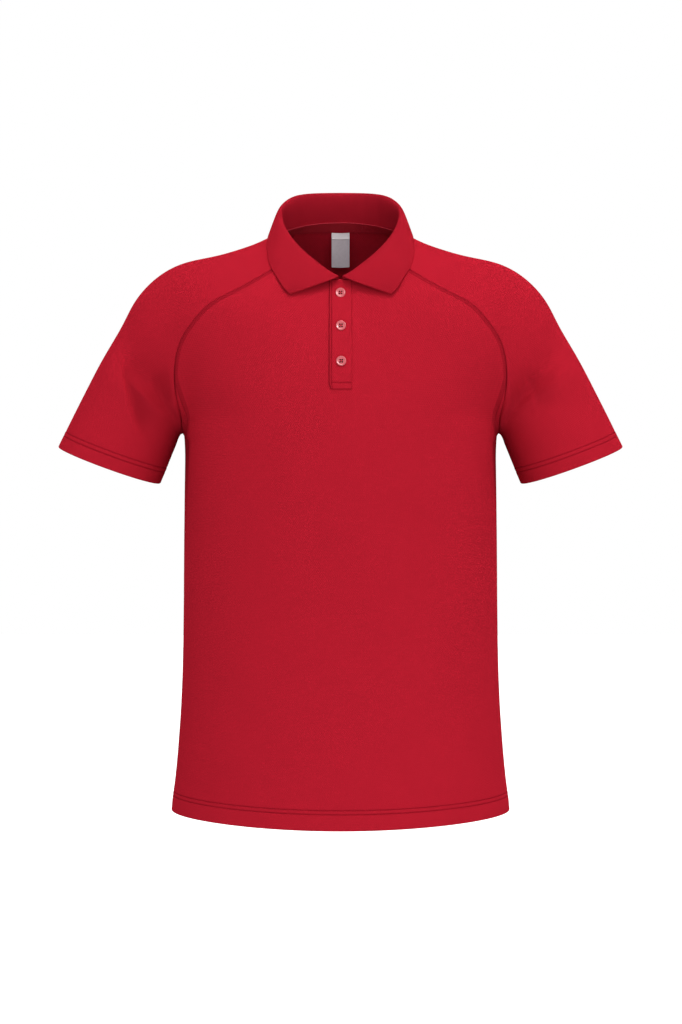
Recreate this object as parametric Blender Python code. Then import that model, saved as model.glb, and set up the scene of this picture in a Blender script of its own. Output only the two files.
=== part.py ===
"""A short-sleeved raglan polo shirt in its worn form, with no wearer: hollow cloth walls, open at the
neck, the cuffs and the hem.

Metres, +Z up. The front faces -Y and the wearer's left is +X. The origin lies between the two
neck-shoulder points, where the wearer's shoulders hold the shirt up.

Every panel is a grid of points. A row of the grid is a bow from one edge of the panel to the other,
and the edges are smooth curves through the short tables of sizes below. Each grid becomes a thin
closed wall. What is sewn onto a panel is made from the panel's own points, moved out.
"""

import math

import bpy
import numpy as np

# Cloth and trims
CLOTH = 0.0012  # thickness of the jersey
RIB = 0.0020  # thickness of the flat-knit collar
TAPE = 0.0008  # thickness of the neck tape and the label
GAP = 0.0003  # clearance between pieces that are sewn together
TAPE_CLEARANCE = 0.0006  # clearance between the tape and the panels it crosses
HIDDEN_SEAM = 0.0013  # how far inside the neckline the collar's lower edge runs

# Body: heights of the hem, the underarm points and the front neckline
HEM_FRONT = -0.7405
HEM_SIDE = -0.7350
HEM_BACK = -0.7405
UNDERARM = -0.2570
NECK_FRONT = -0.0715
NECK_BACK = 0.0195
SIDE_SEAM_Y = -0.0020
BODY_FULLNESS = (  # row, fullness: 1 gives elliptical sections, more gives squarer ones
    (0.0, 0.95),
    (0.5, 1.04),
    (1.0, 1.08),
    (2.0, 1.08),
)

SIDE_LINE = (  # z, half_width
    (-0.7350, 0.2147),
    (-0.7240, 0.2137),
    (-0.6930, 0.2099),
    (-0.6610, 0.2068),
    (-0.6290, 0.2043),
    (-0.5970, 0.2023),
    (-0.5330, 0.2001),
    (-0.4700, 0.1992),
    (-0.4070, 0.1988),
    (-0.3420, 0.1981),
    (-0.2900, 0.1973),
    (-0.2700, 0.1970),
    (-0.2620, 0.1982),
    (-0.2570, 0.2010),
)
FRONT_LINE = (  # z, y at centre front
    (-0.7412, -0.1370),
    (-0.6500, -0.1320),
    (-0.5400, -0.1290),
    (-0.4300, -0.1310),
    (-0.3300, -0.1350),
    (-0.2500, -0.1345),
    (-0.2000, -0.1280),
    (-0.1500, -0.1150),
    (-0.1100, -0.0985),
    (-0.0715, -0.0780),
)
BACK_LINE = (  # z, y at centre back
    (-0.7412, 0.1330),
    (-0.6500, 0.1260),
    (-0.5400, 0.1180),
    (-0.4300, 0.1170),
    (-0.3300, 0.1240),
    (-0.2500, 0.1300),
    (-0.1800, 0.1290),
    (-0.1200, 0.1215),
    (-0.0600, 0.1060),
    (-0.0200, 0.0880),
    (0.0195, 0.0620),
)

# Raglan seams, from the underarm up to the neck. The heading is the way the body's cloth arrives at
# the seam, in degrees from straight outward towards the back or front, and the climb is how it rises.
FRONT_SEAM = (  # x, y, z, heading, climb
    (0.2010, -0.0020, -0.2570, 90, 0),
    (0.1990, -0.0150, -0.2420, 80, 0),
    (0.2030, -0.0340, -0.2195, 66, 2),
    (0.2060, -0.0540, -0.1920, 52, 4),
    (0.2033, -0.0700, -0.1648, 42, 7),
    (0.1954, -0.0810, -0.1424, 36, 10),
    (0.1807, -0.0900, -0.1224, 32, 13),
    (0.1620, -0.0950, -0.1034, 31, 16),
    (0.1338, -0.0960, -0.0876, 32, 20),
    (0.1108, -0.0910, -0.0747, 36, 24),
    (0.0873, -0.0780, -0.0593, 44, 30),
    (0.0616, -0.0550, -0.0416, 58, 37),
)
BACK_SEAM = (  # x, y, z, heading, climb
    (0.2010, -0.0020, -0.2570, 90, 0),
    (0.1990, 0.0140, -0.2420, 80, 0),
    (0.2010, 0.0360, -0.2195, 66, 2),
    (0.2025, 0.0590, -0.1920, 52, 4),
    (0.2000, 0.0770, -0.1640, 42, 7),
    (0.1925, 0.0900, -0.1380, 36, 10),
    (0.1790, 0.0985, -0.1130, 32, 13),
    (0.1600, 0.1030, -0.0880, 31, 15),
    (0.1350, 0.1020, -0.0640, 33, 16),
    (0.1080, 0.0930, -0.0400, 38, 14),
    (0.0810, 0.0730, -0.0130, 46, 8),
    (0.0570, 0.0450, 0.0125, 56, -14),
)
SHOULDER_LINE = (  # x, y, z of the sleeve's upper edge as seen from the front, cuff to neck
    (0.3581, -0.0020, -0.2736),
    (0.3395, -0.0010, -0.2353),
    (0.3191, 0.0005, -0.1946),
    (0.2975, 0.0020, -0.1538),
    (0.2745, 0.0035, -0.1131),
    (0.2643, 0.0040, -0.0927),
    (0.2490, 0.0045, -0.0723),
    (0.2248, 0.0050, -0.0519),
    (0.2045, 0.0050, -0.0417),
    (0.1624, 0.0050, -0.0320),
    (0.1255, 0.0050, -0.0213),
    (0.0962, 0.0055, -0.0090),
    (0.0780, 0.0060, 0.0000),
)
UNDERARM_LINE = (  # x, y, z of the sleeve's underarm seam, cuff to underarm
    (0.2300, -0.0020, -0.3210),
    (0.2197, -0.0020, -0.2965),
    (0.2112, -0.0020, -0.2760),
    (0.2068, -0.0020, -0.2655),
    (0.2042, -0.0020, -0.2595),
    (0.2010, -0.0020, -0.2570),
)
TUBE_SHARE = 0.245  # the closed part of the sleeve, as a share of the shoulder line
FOLD_SHARE = 0.50  # how far up the raglan seam the fold between sleeve and body reaches
CUFF_DIP = 0.0060  # how far the front of the cuff hangs below its sides
SLEEVE_FULLNESS = ((0.0, 0.84), (0.5, 0.88), (1.0, 0.93), (1.5, 1.0), (2.0, 1.0))  # row, fullness
NECK_CLIMB = 17  # degrees the neckline rises from front to back at the shoulder

# Soft troughs in the cloth. Side 1 lies on the garment's front and -1 on its back.
FOLDS = (  # side, upper x, z, lower x, z, half_width, depth
    (1, -0.2660, -0.1840, -0.2440, -0.2460, 0.0130, 0.0034),
    (1, 0.2610, -0.1760, 0.2400, -0.2320, 0.0140, 0.0026),
    (-1, -0.2580, -0.1720, -0.2390, -0.2400, 0.0150, 0.0030),
    (-1, 0.2640, -0.1800, 0.2420, -0.2380, 0.0140, 0.0034),
    (1, -0.1500, -0.2250, -0.1180, -0.2800, 0.0200, 0.0020),
    (1, 0.1520, -0.2150, 0.1240, -0.2720, 0.0200, 0.0018),
    (-1, -0.1480, -0.2400, -0.1080, -0.3350, 0.0240, 0.0030),
    (-1, 0.1500, -0.2300, 0.1130, -0.3200, 0.0240, 0.0034),
    (-1, -0.0350, -0.3800, 0.0420, -0.4350, 0.0300, 0.0026),
)
FOLD_FADE = 3  # cells over which a fold dies out beside a seam

# Collar, from centre front to centre back. The share is the place along the neckline.
COLLAR_STATIONS = (  # share, fold x, y, z, edge x, y, z
    (0.00, 0.0028, -0.0870, -0.0672, 0.0612, -0.1035, -0.0905),
    (0.15, 0.0250, -0.0755, -0.0520, 0.0700, -0.0995, -0.0825),
    (0.31, 0.0500, -0.0565, -0.0290, 0.0800, -0.0870, -0.0660),
    (0.46, 0.0690, -0.0290, -0.0010, 0.0895, -0.0610, -0.0440),
    (0.61, 0.0755, 0.0020, 0.0280, 0.0915, -0.0100, -0.0080),
    (0.70, 0.0708, 0.0200, 0.0398, 0.0872, 0.0230, 0.0015),
    (0.80, 0.0590, 0.0400, 0.0512, 0.0730, 0.0480, 0.0070),
    (0.90, 0.0360, 0.0550, 0.0574, 0.0430, 0.0660, 0.0120),
    (1.00, 0.0000, 0.0610, 0.0591, 0.0000, 0.0735, 0.0145),
)
STAND_BEND = 0.0035  # radius of the collar's fold on the neck's side
FALL_BEND = 0.0032  # radius of the fold on the outer side

# Placket, tape and label
PLACKET_WIDTH = 0.0280
PLACKET_END = -0.2095
SLIT_WIDTH = 0.0180
SLIT_END = -0.2040
TAPE_WIDTH = 0.0120
TAPE_SHARE = 0.36  # place along the neckline where the tape starts on each side
LABEL_WIDTH = 0.0240
LABEL_LENGTH = 0.0470
LABEL_DROP = 0.0018  # how far below the tape's lower edge the label starts
LABEL_LEAN = 0.10  # how far the label hangs backward for each unit down
LABEL_BOW = 0.0008  # how far the label's long edges stand forward of its middle
BUTTON_PLACES = (  # x, z
    (0.0000, -0.0888),
    (0.0005, -0.1309),
    (0.0008, -0.1750),
)
BUTTON_RADIUS = 0.0061
BUTTON_PROFILE = (  # radius as a share of the button's, height above the placket
    (0.00, 0.0000),
    (0.62, 0.0000),
    (0.94, 0.0007),
    (1.00, 0.0014),
    (0.97, 0.0021),
    (0.86, 0.0024),
    (0.70, 0.0021),
    (0.58, 0.0017),
    (0.00, 0.0016),
)
BUTTON_SIDES = 24

# How many cells each grid has
HEM_TO_UNDERARM_ROWS = 15
SLIT_ROWS = 4
YOKE_ROWS = 10
HALF_PANEL_COLUMNS = 12
TUBE_ROWS = 5
HALF_SLEEVE_COLUMNS = 12
HALF_COLLAR_STEPS = 18
STAND_STEPS = 6
FALL_STEPS = 8
DENSE = np.linspace(0.0, 1.0, 61)

# Colours and finishes
RED_CLOTH = (0.52, 0.016, 0.030, 1.0)
RED_RIB = (0.46, 0.014, 0.026, 1.0)
LABEL_GREY = (0.42, 0.40, 0.41, 1.0)
BUTTON_PINK = (0.70, 0.16, 0.18, 1.0)


# Curves


def spline(knots, values, where):
    """A natural cubic spline through the values, one row a knot, read at the places in where."""
    knots = np.asarray(knots, float)
    values = np.asarray(values, float).reshape(len(knots), -1)
    where = np.atleast_1d(np.asarray(where, float))
    step = np.diff(knots)
    slope = np.diff(values, axis=0) / step[:, None]
    system = np.eye(len(knots))
    change = np.zeros_like(values)
    for i in range(1, len(knots) - 1):
        system[i, i - 1 : i + 2] = step[i - 1], 2 * (step[i - 1] + step[i]), step[i]
        change[i] = 6 * (slope[i] - slope[i - 1])
    bend = np.linalg.solve(system, change)
    cell = np.clip(np.searchsorted(knots, where, side="right") - 1, 0, len(step) - 1)
    after = ((where - knots[cell]) / step[cell])[:, None]
    before = 1 - after
    pull = (before**3 - before) * bend[cell] + (after**3 - after) * bend[cell + 1]
    return before * values[cell] + after * values[cell + 1] + pull * step[cell, None] ** 2 / 6


def read(table, where):
    """The second column of a two-column table, at the places in where of its first column."""
    return spline([row[0] for row in table], [row[1] for row in table], where)[:, 0]


def along(table, share):
    """A row of the table at a share of its curve's length. The first three columns are x, y, z."""
    rows = np.array(table, float)
    return spline(shares(rows[:, :3]), rows, share)[0]


def lengths(points):
    return np.concatenate([[0.0], np.cumsum(np.linalg.norm(np.diff(points, axis=0), axis=1))])


def shares(points):
    run = lengths(points)
    return run / run[-1]


def at_share(points, wanted):
    """The points of a polyline at the wanted shares of its length."""
    run = shares(points)
    return np.column_stack([np.interp(wanted, run, points[:, axis]) for axis in range(3)])


def unit(vector):
    return vector / np.linalg.norm(vector)


def ease(amount):
    amount = min(max(amount, 0.0), 1.0)
    return amount * amount * (3 - 2 * amount)


def way(heading, climb, side):
    """A direction outward to +X, turned by the heading towards +Y (side 1) or -Y (side -1)."""
    heading = math.radians(heading)
    climb = math.radians(climb)
    level = math.cos(climb)
    return np.array([level * math.cos(heading), side * level * math.sin(heading), math.sin(climb)])


def bezier(start, start_handle, end_handle, end):
    t = DENSE[:, None]
    s = 1 - t
    return s**3 * start + 3 * s * s * t * start_handle + 3 * s * t * t * end_handle + t**3 * end


def turn_between(start_way, end_way):
    return math.acos(max(-1.0, min(1.0, float(np.dot(start_way, end_way)))))


def body_bow(start, start_way, end, end_way, fullness):
    """A bow whose handles follow the chord's reach along each end's direction, as in an ellipse."""
    turn = max(turn_between(start_way, end_way), 0.02)
    factor = fullness * 4 / 3 * math.tan(turn / 4) / math.sin(turn)
    chord = end - start
    start_handle = start + start_way * factor * abs(np.dot(chord, start_way))
    end_handle = end - end_way * factor * abs(np.dot(chord, end_way))
    return bezier(start, start_handle, end_handle, end)


def arm_bow(start, start_way, end, end_way, fullness, dip):
    """A bow whose two handles are alike, as in an arc that may turn by up to half a circle."""
    turn = max(turn_between(start_way, end_way), 0.02)
    handle = fullness * 2 / 3 * math.tan(turn / 4) / math.sin(turn / 2)
    handle *= np.linalg.norm(end - start)
    return bezier(start, start + start_way * handle + dip, end - end_way * handle + dip, end)


# Rows of the panels. A row's place is 0 at the hem or cuff, 1 at the underarm and 2 at the neck.


def seam_row(table, share, side):
    """A raglan seam at a share of its length: point, the body's way into it, the way across it."""
    x, y, z, heading, climb = along(table, share)
    near = 0.01
    run = unit(along(table, min(share + near, 1.0))[:3] - along(table, max(share - near, 0.0))[:3])
    arrive = way(heading, climb, side)
    across = unit(arrive - run * np.dot(arrive, run))
    return np.array([x, y, z]), arrive, across


def body_row(place, side, trim=GAP):
    """Half of a body row, from its centre out to the seam. Side 1 is the front, -1 is the back.

    The side seam's clearance is shared by both panels, and the raglan seam's is all the body's.
    """
    front = side > 0
    line = FRONT_LINE if front else BACK_LINE
    hem = HEM_FRONT if front else HEM_BACK
    neck = NECK_FRONT if front else NECK_BACK
    if place <= 1:
        z = hem + (UNDERARM - hem) * place
        edge_z = HEM_SIDE + (UNDERARM - HEM_SIDE) * place
        end = np.array([read(SIDE_LINE, edge_z)[0], SIDE_SEAM_Y, edge_z])
        arrive = way(90, 0, side)
        across = arrive / 2
        if place == 1:
            across = seam_row(FRONT_SEAM if front else BACK_SEAM, 0.0, side)[2]
    else:
        z = UNDERARM + (neck - UNDERARM) * (place - 1)
        end, arrive, across = seam_row(FRONT_SEAM if front else BACK_SEAM, place - 1, side)
    start = np.array([0.0, read(line, z)[0], z])
    fullness = read(BODY_FULLNESS, place)[0]
    return body_bow(start, np.array([1.0, 0.0, 0.0]), end - across * trim, arrive, fullness)


def sleeve_half(place, side):
    """Half of a sleeve section, from the front or back seam up to the shoulder line."""
    fullness = read(SLEEVE_FULLNESS, place)[0]
    forward = np.array([0.0, -float(side), 0.0])
    over = -forward
    dip = np.zeros(3)
    if place <= 1:
        start = along(UNDERARM_LINE, place)[:3]
        top = along(SHOULDER_LINE, place * TUBE_SHARE)[:3]
        arm_way = unit(along(UNDERARM_LINE, 0.0)[:3] - along(UNDERARM_LINE, 0.4)[:3])
        dip = arm_way * CUFF_DIP * side * (1 - ease(place))
        leave = forward
    else:
        share = place - 1
        table = FRONT_SEAM if side > 0 else BACK_SEAM
        start, arrive, across = seam_row(table, share, side)
        top = along(SHOULDER_LINE, TUBE_SHARE + (1 - TUBE_SHARE) * share)[:3]
        fold = 1 - ease(share / FOLD_SHARE)
        outward = np.array([3.6 * fold * (1 - fold), 0.0, 0.0])
        neck = ease((share - 0.8) / 0.2)
        leave = unit(across * (1 - fold) + forward * fold + outward)
        leave = unit(leave * (1 - neck) + arrive * neck)
        over = unit(over + np.array([0.0, 0.0, side * math.tan(math.radians(NECK_CLIMB))]) * neck)
    return arm_bow(start, leave, top, over, fullness, dip)


def neck_loop(place):
    """Half of a loop round the neck at a row's place, from centre front to centre back."""
    parts = (
        body_row(place, 1, trim=0.0),
        sleeve_half(place, 1)[1:],
        sleeve_half(place, -1)[::-1][1:],
        body_row(place, -1, trim=0.0)[::-1][1:],
    )
    return np.concatenate(parts)


def neckline(share):
    """The neckline at a share of its half length: the point, and the way across it into the neck."""
    edge = neck_loop(2.0)
    below = neck_loop(1.96)
    run = shares(edge)
    point = np.array([np.interp(share, run, edge[:, axis]) for axis in range(3)])
    under = np.array([np.interp(share, run, below[:, axis]) for axis in range(3)])
    place = min(max(np.searchsorted(run, share), 2), len(edge) - 3)
    tangent = unit(edge[place + 2] - edge[place - 2])
    inward = point - under
    return point, unit(inward - tangent * np.dot(inward, tangent))


def mirrored(half):
    """A full row from the half on +X: its mirror image on -X, then the half itself."""
    return np.concatenate([half[:0:-1] * np.array([-1.0, 1.0, 1.0]), half])


# Walls


def grid_faces(rows, columns, skip=()):
    """Four-cornered faces of a grid of points, each with its outer side up."""
    faces = []
    for row in range(rows - 1):
        for column in range(columns - 1):
            if (row, column) in skip:
                continue
            corner = row * columns + column
            faces.append((corner, corner + 1, corner + columns + 1, corner + columns))
    return faces


def normals_of(grid):
    """The outward normals of a grid of points. Its rows run across, and follow each other up."""
    across = np.gradient(grid, axis=1, edge_order=2)
    up = np.gradient(grid, axis=0, edge_order=2)
    normals = np.cross(across, up)
    return normals / np.linalg.norm(normals, axis=2, keepdims=True)


def depth_of_folds(x, z, facing):
    """How far the cloth is drawn in at a point, by every trough on the side that it faces."""
    depth = 0.0
    for side, top_x, top_z, low_x, low_z, half_width, deepest in FOLDS:
        run = np.array([low_x - top_x, low_z - top_z])
        from_top = np.array([x - top_x, z - top_z])
        place = min(max(float(from_top @ run / (run @ run)), 0.0), 1.0)
        away = np.linalg.norm(from_top - run * place) / half_width
        depth += deepest * math.exp(-away * away) * max(0.0, side * facing)
    return depth


def folded(rows):
    """The grid of a panel with its troughs drawn in. Its seam edges stay where they are."""
    grid = np.array(rows)
    normals = normals_of(grid)
    last = grid.shape[1] - 1
    for row, column in np.ndindex(grid.shape[:2]):
        x, y, z = grid[row, column]
        facing = -normals[row, column, 1]
        fade = ease(min(column, last - column) / FOLD_FADE)
        grid[row, column] -= normals[row, column] * depth_of_folds(x, z, facing) * fade
    return grid


def rim_of(faces):
    """The edges that only one face has, each in that face's direction."""
    edges = {(a, b) for face in faces for a, b in zip(face, face[1:] + face[:1])}
    return [(a, b) for a, b in edges if (b, a) not in edges]


def add_object(name, points, faces, material):
    used = sorted({index for face in faces for index in face})
    place = {index: count for count, index in enumerate(used)}
    mesh = bpy.data.meshes.new(name)
    corners = [tuple(float(value) for value in points[index]) for index in used]
    mesh.from_pydata(corners, [], [tuple(place[index] for index in face) for face in faces])
    mesh.update()
    mesh.shade_smooth()
    mesh.set_sharp_from_angle(angle=math.radians(50))
    mesh.materials.append(material)
    obj = bpy.data.objects.new(name, mesh)
    bpy.context.scene.collection.objects.link(obj)
    return obj


def wall(name, rows, above, below, material, skip=(), join=None):
    """A closed wall on a grid of points, from above the grid to below it along its normals.

    Skip names the cells that are left open, and join maps points onto others they are sewn to.
    """
    grid = np.array(rows)
    points = grid.reshape(-1, 3)
    normals = normals_of(grid).reshape(-1, 3)
    join = join or {}
    faces = [
        tuple(join.get(index, index) for index in face)
        for face in grid_faces(len(grid), len(grid[0]), skip)
    ]
    count = len(points)
    both = np.concatenate([points + normals * above, points - normals * below])
    inner = [tuple(index + count for index in reversed(face)) for face in faces]
    rim = [(b, a, a + count, b + count) for a, b in sorted(rim_of(faces))]
    return add_object(name, both, faces + inner + rim, material)


def finish(name, colour, roughness):
    material = bpy.data.materials.new(name)
    material.use_nodes = True
    shader = material.node_tree.nodes["Principled BSDF"]
    shader.inputs["Base Color"].default_value = colour
    shader.inputs["Roughness"].default_value = roughness
    shader.inputs["Metallic"].default_value = 0.0
    material.diffuse_color = colour
    return material


# Pieces


def panel_columns(half, slit):
    """A half row resampled: its centre, the slit's edge, then even steps out to the seam."""
    run = shares(half)
    slit_share = np.interp(slit / 2, half[:, 0], run)
    outer = np.linspace(slit_share, 1.0, HALF_PANEL_COLUMNS)
    return at_share(half, np.concatenate([[0.0], outer]))


def slit_place():
    """The row of the front at the slit's lower end."""
    return 1 + (SLIT_END - UNDERARM) / (NECK_FRONT - UNDERARM)


def rows_above(below):
    """Row places from 0 to 2, with so many rows below the underarm. Panels share those above it."""
    lower = np.linspace(0, 1, below + 1)
    middle = np.linspace(1, slit_place(), SLIT_ROWS + 1)[1:]
    upper = np.linspace(slit_place(), 2, YOKE_ROWS + 1)[1:]
    return np.concatenate([lower, middle, upper])


def make_front():
    rows = rows_above(HEM_TO_UNDERARM_ROWS)
    points = [mirrored(panel_columns(body_row(place, 1), SLIT_WIDTH)) for place in rows]
    middle = len(points[0]) // 2
    skip = {
        (row, column)
        for row in range(HEM_TO_UNDERARM_ROWS + SLIT_ROWS, len(rows) - 1)
        for column in (middle - 1, middle)
    }
    cloth = finish("front cloth", RED_CLOTH, 0.85)
    return wall("front_body", folded(points), 0.0, CLOTH, cloth, skip)


def make_back():
    rows = rows_above(HEM_TO_UNDERARM_ROWS)
    points = [mirrored(panel_columns(body_row(place, -1), SLIT_WIDTH)) for place in rows]
    points = [row[::-1] for row in points]
    return wall("back_body", folded(points), 0.0, CLOTH, finish("back cloth", RED_CLOTH, 0.85))


def sleeve_section(place):
    """A whole section of the sleeve, from the front seam over the shoulder to the back seam."""
    even = np.linspace(0, 1, HALF_SLEEVE_COLUMNS + 1)
    front = at_share(sleeve_half(place, 1), even)
    back = at_share(sleeve_half(place, -1), even)
    return np.concatenate([front, back[::-1][1:]])


def make_sleeve(name, mirror):
    """A sleeve is a tube up to the underarm, and is open along the raglan seams above it."""
    rows = rows_above(TUBE_ROWS)
    points = np.array([sleeve_section(place) for place in rows])
    if mirror:
        points = points[:, ::-1] * np.array([-1.0, 1.0, 1.0])
    columns = len(points[0])
    join = {row * columns + columns - 1: row * columns for row in range(TUBE_ROWS + 1)}
    cloth = finish(name + " cloth", RED_CLOTH, 0.85)
    return wall(name, folded(points), 0.0, CLOTH, cloth, join=join)


def collar_section(share):
    """The collar's middle surface at a place on the neckline: up the stand, over and down."""
    table = np.array(COLLAR_STATIONS)
    station = spline(table[:, 0], table[:, 1:], share)[0]
    fold = station[:3]
    edge = station[3:]
    point, inward = neckline(share)
    foot = point + inward * HIDDEN_SEAM
    rise = fold - foot
    fall = edge - fold
    top = unit(unit(rise) - unit(fall))
    out = unit(fall - top * np.dot(fall, top))
    stand_length = np.linalg.norm(rise)
    fall_length = np.linalg.norm(fall)
    curved = ease(share / 0.3)
    stand_handle = math.sqrt(2 / 3 * STAND_BEND * 0.65 * stand_length)
    fall_handle = math.sqrt(2 / 3 * FALL_BEND * 0.60 * fall_length) * (0.4 + 0.6 * curved)
    stand = bezier(foot, foot + rise * 0.35, fold - out * stand_handle, fold)
    down = unit(unit(fall) + np.array([0.0, 0.0, -0.25]) * curved)
    leaf = bezier(fold, fold + out * fall_handle, edge - down * fall_length * 0.40, edge)
    stand_steps = 1 - np.linspace(1, 0, STAND_STEPS + 1) ** 1.5
    fall_steps = np.linspace(0, 1, FALL_STEPS + 1)[1:] ** 1.4
    return np.concatenate([at_share(stand, stand_steps), at_share(leaf, fall_steps)])


def make_collar():
    half = [collar_section(share) for share in np.linspace(0, 1, HALF_COLLAR_STEPS + 1)]
    other = [section * np.array([-1.0, 1.0, 1.0]) for section in half[-2::-1]]
    sections = half + other
    return wall("collar", sections, RIB / 2, RIB / 2, finish("collar rib", RED_RIB, 0.85))


def below_neckline(share, distances):
    """Points on the cloth under a place of the neckline, at distances down from its edge."""
    rows = [neck_loop(place) for place in np.linspace(2.0, 1.75, 11)]
    run = shares(rows[0])
    line = [[np.interp(share, run, row[:, axis]) for axis in range(3)] for row in rows]
    line = np.array(line)
    down = lengths(line)
    return np.column_stack([np.interp(distances, down, line[:, axis]) for axis in range(3)])


def make_tape():
    """The tape lies inside the neckline, over the seam between the collar and the panels."""
    distances = np.linspace(0.0010, TAPE_WIDTH, 4)
    half = [below_neckline(share, distances) for share in np.linspace(TAPE_SHARE, 1, 15)]
    other = [line * np.array([-1.0, 1.0, 1.0]) for line in half[-2::-1]]
    lines = half + other
    inside = CLOTH + TAPE_CLEARANCE
    return wall("neck_tape", lines, -inside, inside + TAPE, finish("tape", RED_RIB, 0.8))


def make_label():
    """A bare label that hangs from just under the tape, almost straight down."""
    top = below_neckline(1.0, [TAPE_WIDTH + LABEL_DROP])[0]
    hang = unit(np.array([0.0, LABEL_LEAN, -1.0]))
    across = np.linspace(-LABEL_WIDTH / 2, LABEL_WIDTH / 2, 5)
    rows = []
    for depth in np.linspace(0, LABEL_LENGTH, 7):
        centre = top + hang * depth
        bow = LABEL_BOW * (2 * across / LABEL_WIDTH) ** 2
        rows.append(np.column_stack([across, centre[1] - bow, np.full(5, centre[2])]))
    inside = CLOTH + TAPE_CLEARANCE
    return wall("neck_label", rows, -inside, inside + TAPE, finish("label satin", LABEL_GREY, 0.6))


def front_at(x, place):
    half = body_row(place, 1)
    return np.array([x, *(np.interp(abs(x), half[:, 0], half[:, axis]) for axis in (1, 2))])


def make_placket(name, end, above, below):
    """A strip on the front's points, from the neckline down to its end."""
    bottom = 1 + (end - UNDERARM) / (NECK_FRONT - UNDERARM)
    rows = [
        [front_at(x, place) for x in np.linspace(-PLACKET_WIDTH / 2, PLACKET_WIDTH / 2, 5)]
        for place in np.linspace(bottom, 1.997, 11)
    ]
    return wall(name, rows, above, below, finish(name + " cloth", RED_CLOTH, 0.85))


def make_button(name, x, z):
    """A turned button that lies on the placket."""
    place = 1 + (z - UNDERARM) / (NECK_FRONT - UNDERARM)
    centre = front_at(x, place)
    lean = front_at(x, place + 0.02) - front_at(x, place - 0.02)
    lean = unit(lean)
    outward = np.array([0.0, -lean[2], lean[1]])
    side = np.array([1.0, 0.0, 0.0])
    base = centre + outward * (CLOTH + 2 * GAP)
    rings = BUTTON_PROFILE[1:-1]
    points = [base, base + outward * BUTTON_PROFILE[-1][1]]
    for radius, height in rings:
        for turn in np.linspace(0, 2 * math.pi, BUTTON_SIDES, endpoint=False):
            round_way = side * math.cos(turn) + lean * math.sin(turn)
            points.append(base + round_way * radius * BUTTON_RADIUS + outward * height)
    faces = []
    for sector in range(BUTTON_SIDES):
        here = 2 + sector
        there = 2 + (sector + 1) % BUTTON_SIDES
        faces.append((0, there, here))
        for ring in range(len(rings) - 1):
            low = ring * BUTTON_SIDES
            high = low + BUTTON_SIDES
            faces.append((here + low, there + low, there + high, here + high))
        last = (len(rings) - 1) * BUTTON_SIDES
        faces.append((1, here + last, there + last))
    return add_object(name, np.array(points), faces, finish(name + " resin", BUTTON_PINK, 0.3))


def main():
    for obj in list(bpy.data.objects):
        bpy.data.objects.remove(obj, do_unlink=True)
    make_front()
    make_back()
    make_sleeve("sleeve_left", mirror=False)
    make_sleeve("sleeve_right", mirror=True)
    make_collar()
    make_tape()
    make_label()
    make_placket("placket_top", PLACKET_END, GAP + CLOTH, -GAP)
    make_placket("placket_under", SLIT_END - 0.004, -CLOTH - GAP, 2 * CLOTH + GAP)
    for count, (x, z) in enumerate(BUTTON_PLACES, 1):
        make_button(f"button_{count}", x, z)


main()
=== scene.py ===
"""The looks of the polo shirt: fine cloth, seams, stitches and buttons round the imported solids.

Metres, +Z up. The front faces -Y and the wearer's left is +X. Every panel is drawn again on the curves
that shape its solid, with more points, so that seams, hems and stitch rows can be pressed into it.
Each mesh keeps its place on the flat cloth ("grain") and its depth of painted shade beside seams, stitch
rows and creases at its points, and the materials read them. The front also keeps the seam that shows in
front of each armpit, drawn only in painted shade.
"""

import math

import bpy
import numpy as np
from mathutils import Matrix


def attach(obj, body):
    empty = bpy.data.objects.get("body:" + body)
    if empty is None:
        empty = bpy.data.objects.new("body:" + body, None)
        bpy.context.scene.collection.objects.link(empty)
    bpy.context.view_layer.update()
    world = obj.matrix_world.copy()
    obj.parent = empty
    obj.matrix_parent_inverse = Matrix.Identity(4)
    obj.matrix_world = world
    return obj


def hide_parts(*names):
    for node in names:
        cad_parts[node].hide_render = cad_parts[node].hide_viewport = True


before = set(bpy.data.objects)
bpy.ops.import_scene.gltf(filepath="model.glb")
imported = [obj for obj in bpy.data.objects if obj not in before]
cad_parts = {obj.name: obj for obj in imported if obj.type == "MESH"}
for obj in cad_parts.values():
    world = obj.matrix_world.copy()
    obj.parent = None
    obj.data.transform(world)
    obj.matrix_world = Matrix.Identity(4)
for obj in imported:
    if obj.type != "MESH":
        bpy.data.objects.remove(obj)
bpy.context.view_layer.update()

# ----------------------------------------
# Sizes of the garment, as its solids have them

CLOTH = 0.0012  # thickness of the jersey
RIB = 0.0020  # thickness of the flat-knit collar
TAPE = 0.0008  # thickness of the neck tape and the label
GAP = 0.0003  # clearance between pieces that are sewn together
TAPE_CLEARANCE = 0.0006  # clearance between the tape and the panels it crosses
HIDDEN_SEAM = 0.0013  # how far inside the neckline the collar's lower edge runs

HEM_FRONT = -0.7405
HEM_SIDE = -0.7350
HEM_BACK = -0.7405
UNDERARM = -0.2570
NECK_FRONT = -0.0715
NECK_BACK = 0.0195
SIDE_SEAM_Y = -0.0020
BODY_FULLNESS = ((0.0, 0.95), (0.5, 1.04), (1.0, 1.08), (2.0, 1.08))  # row, fullness

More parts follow.
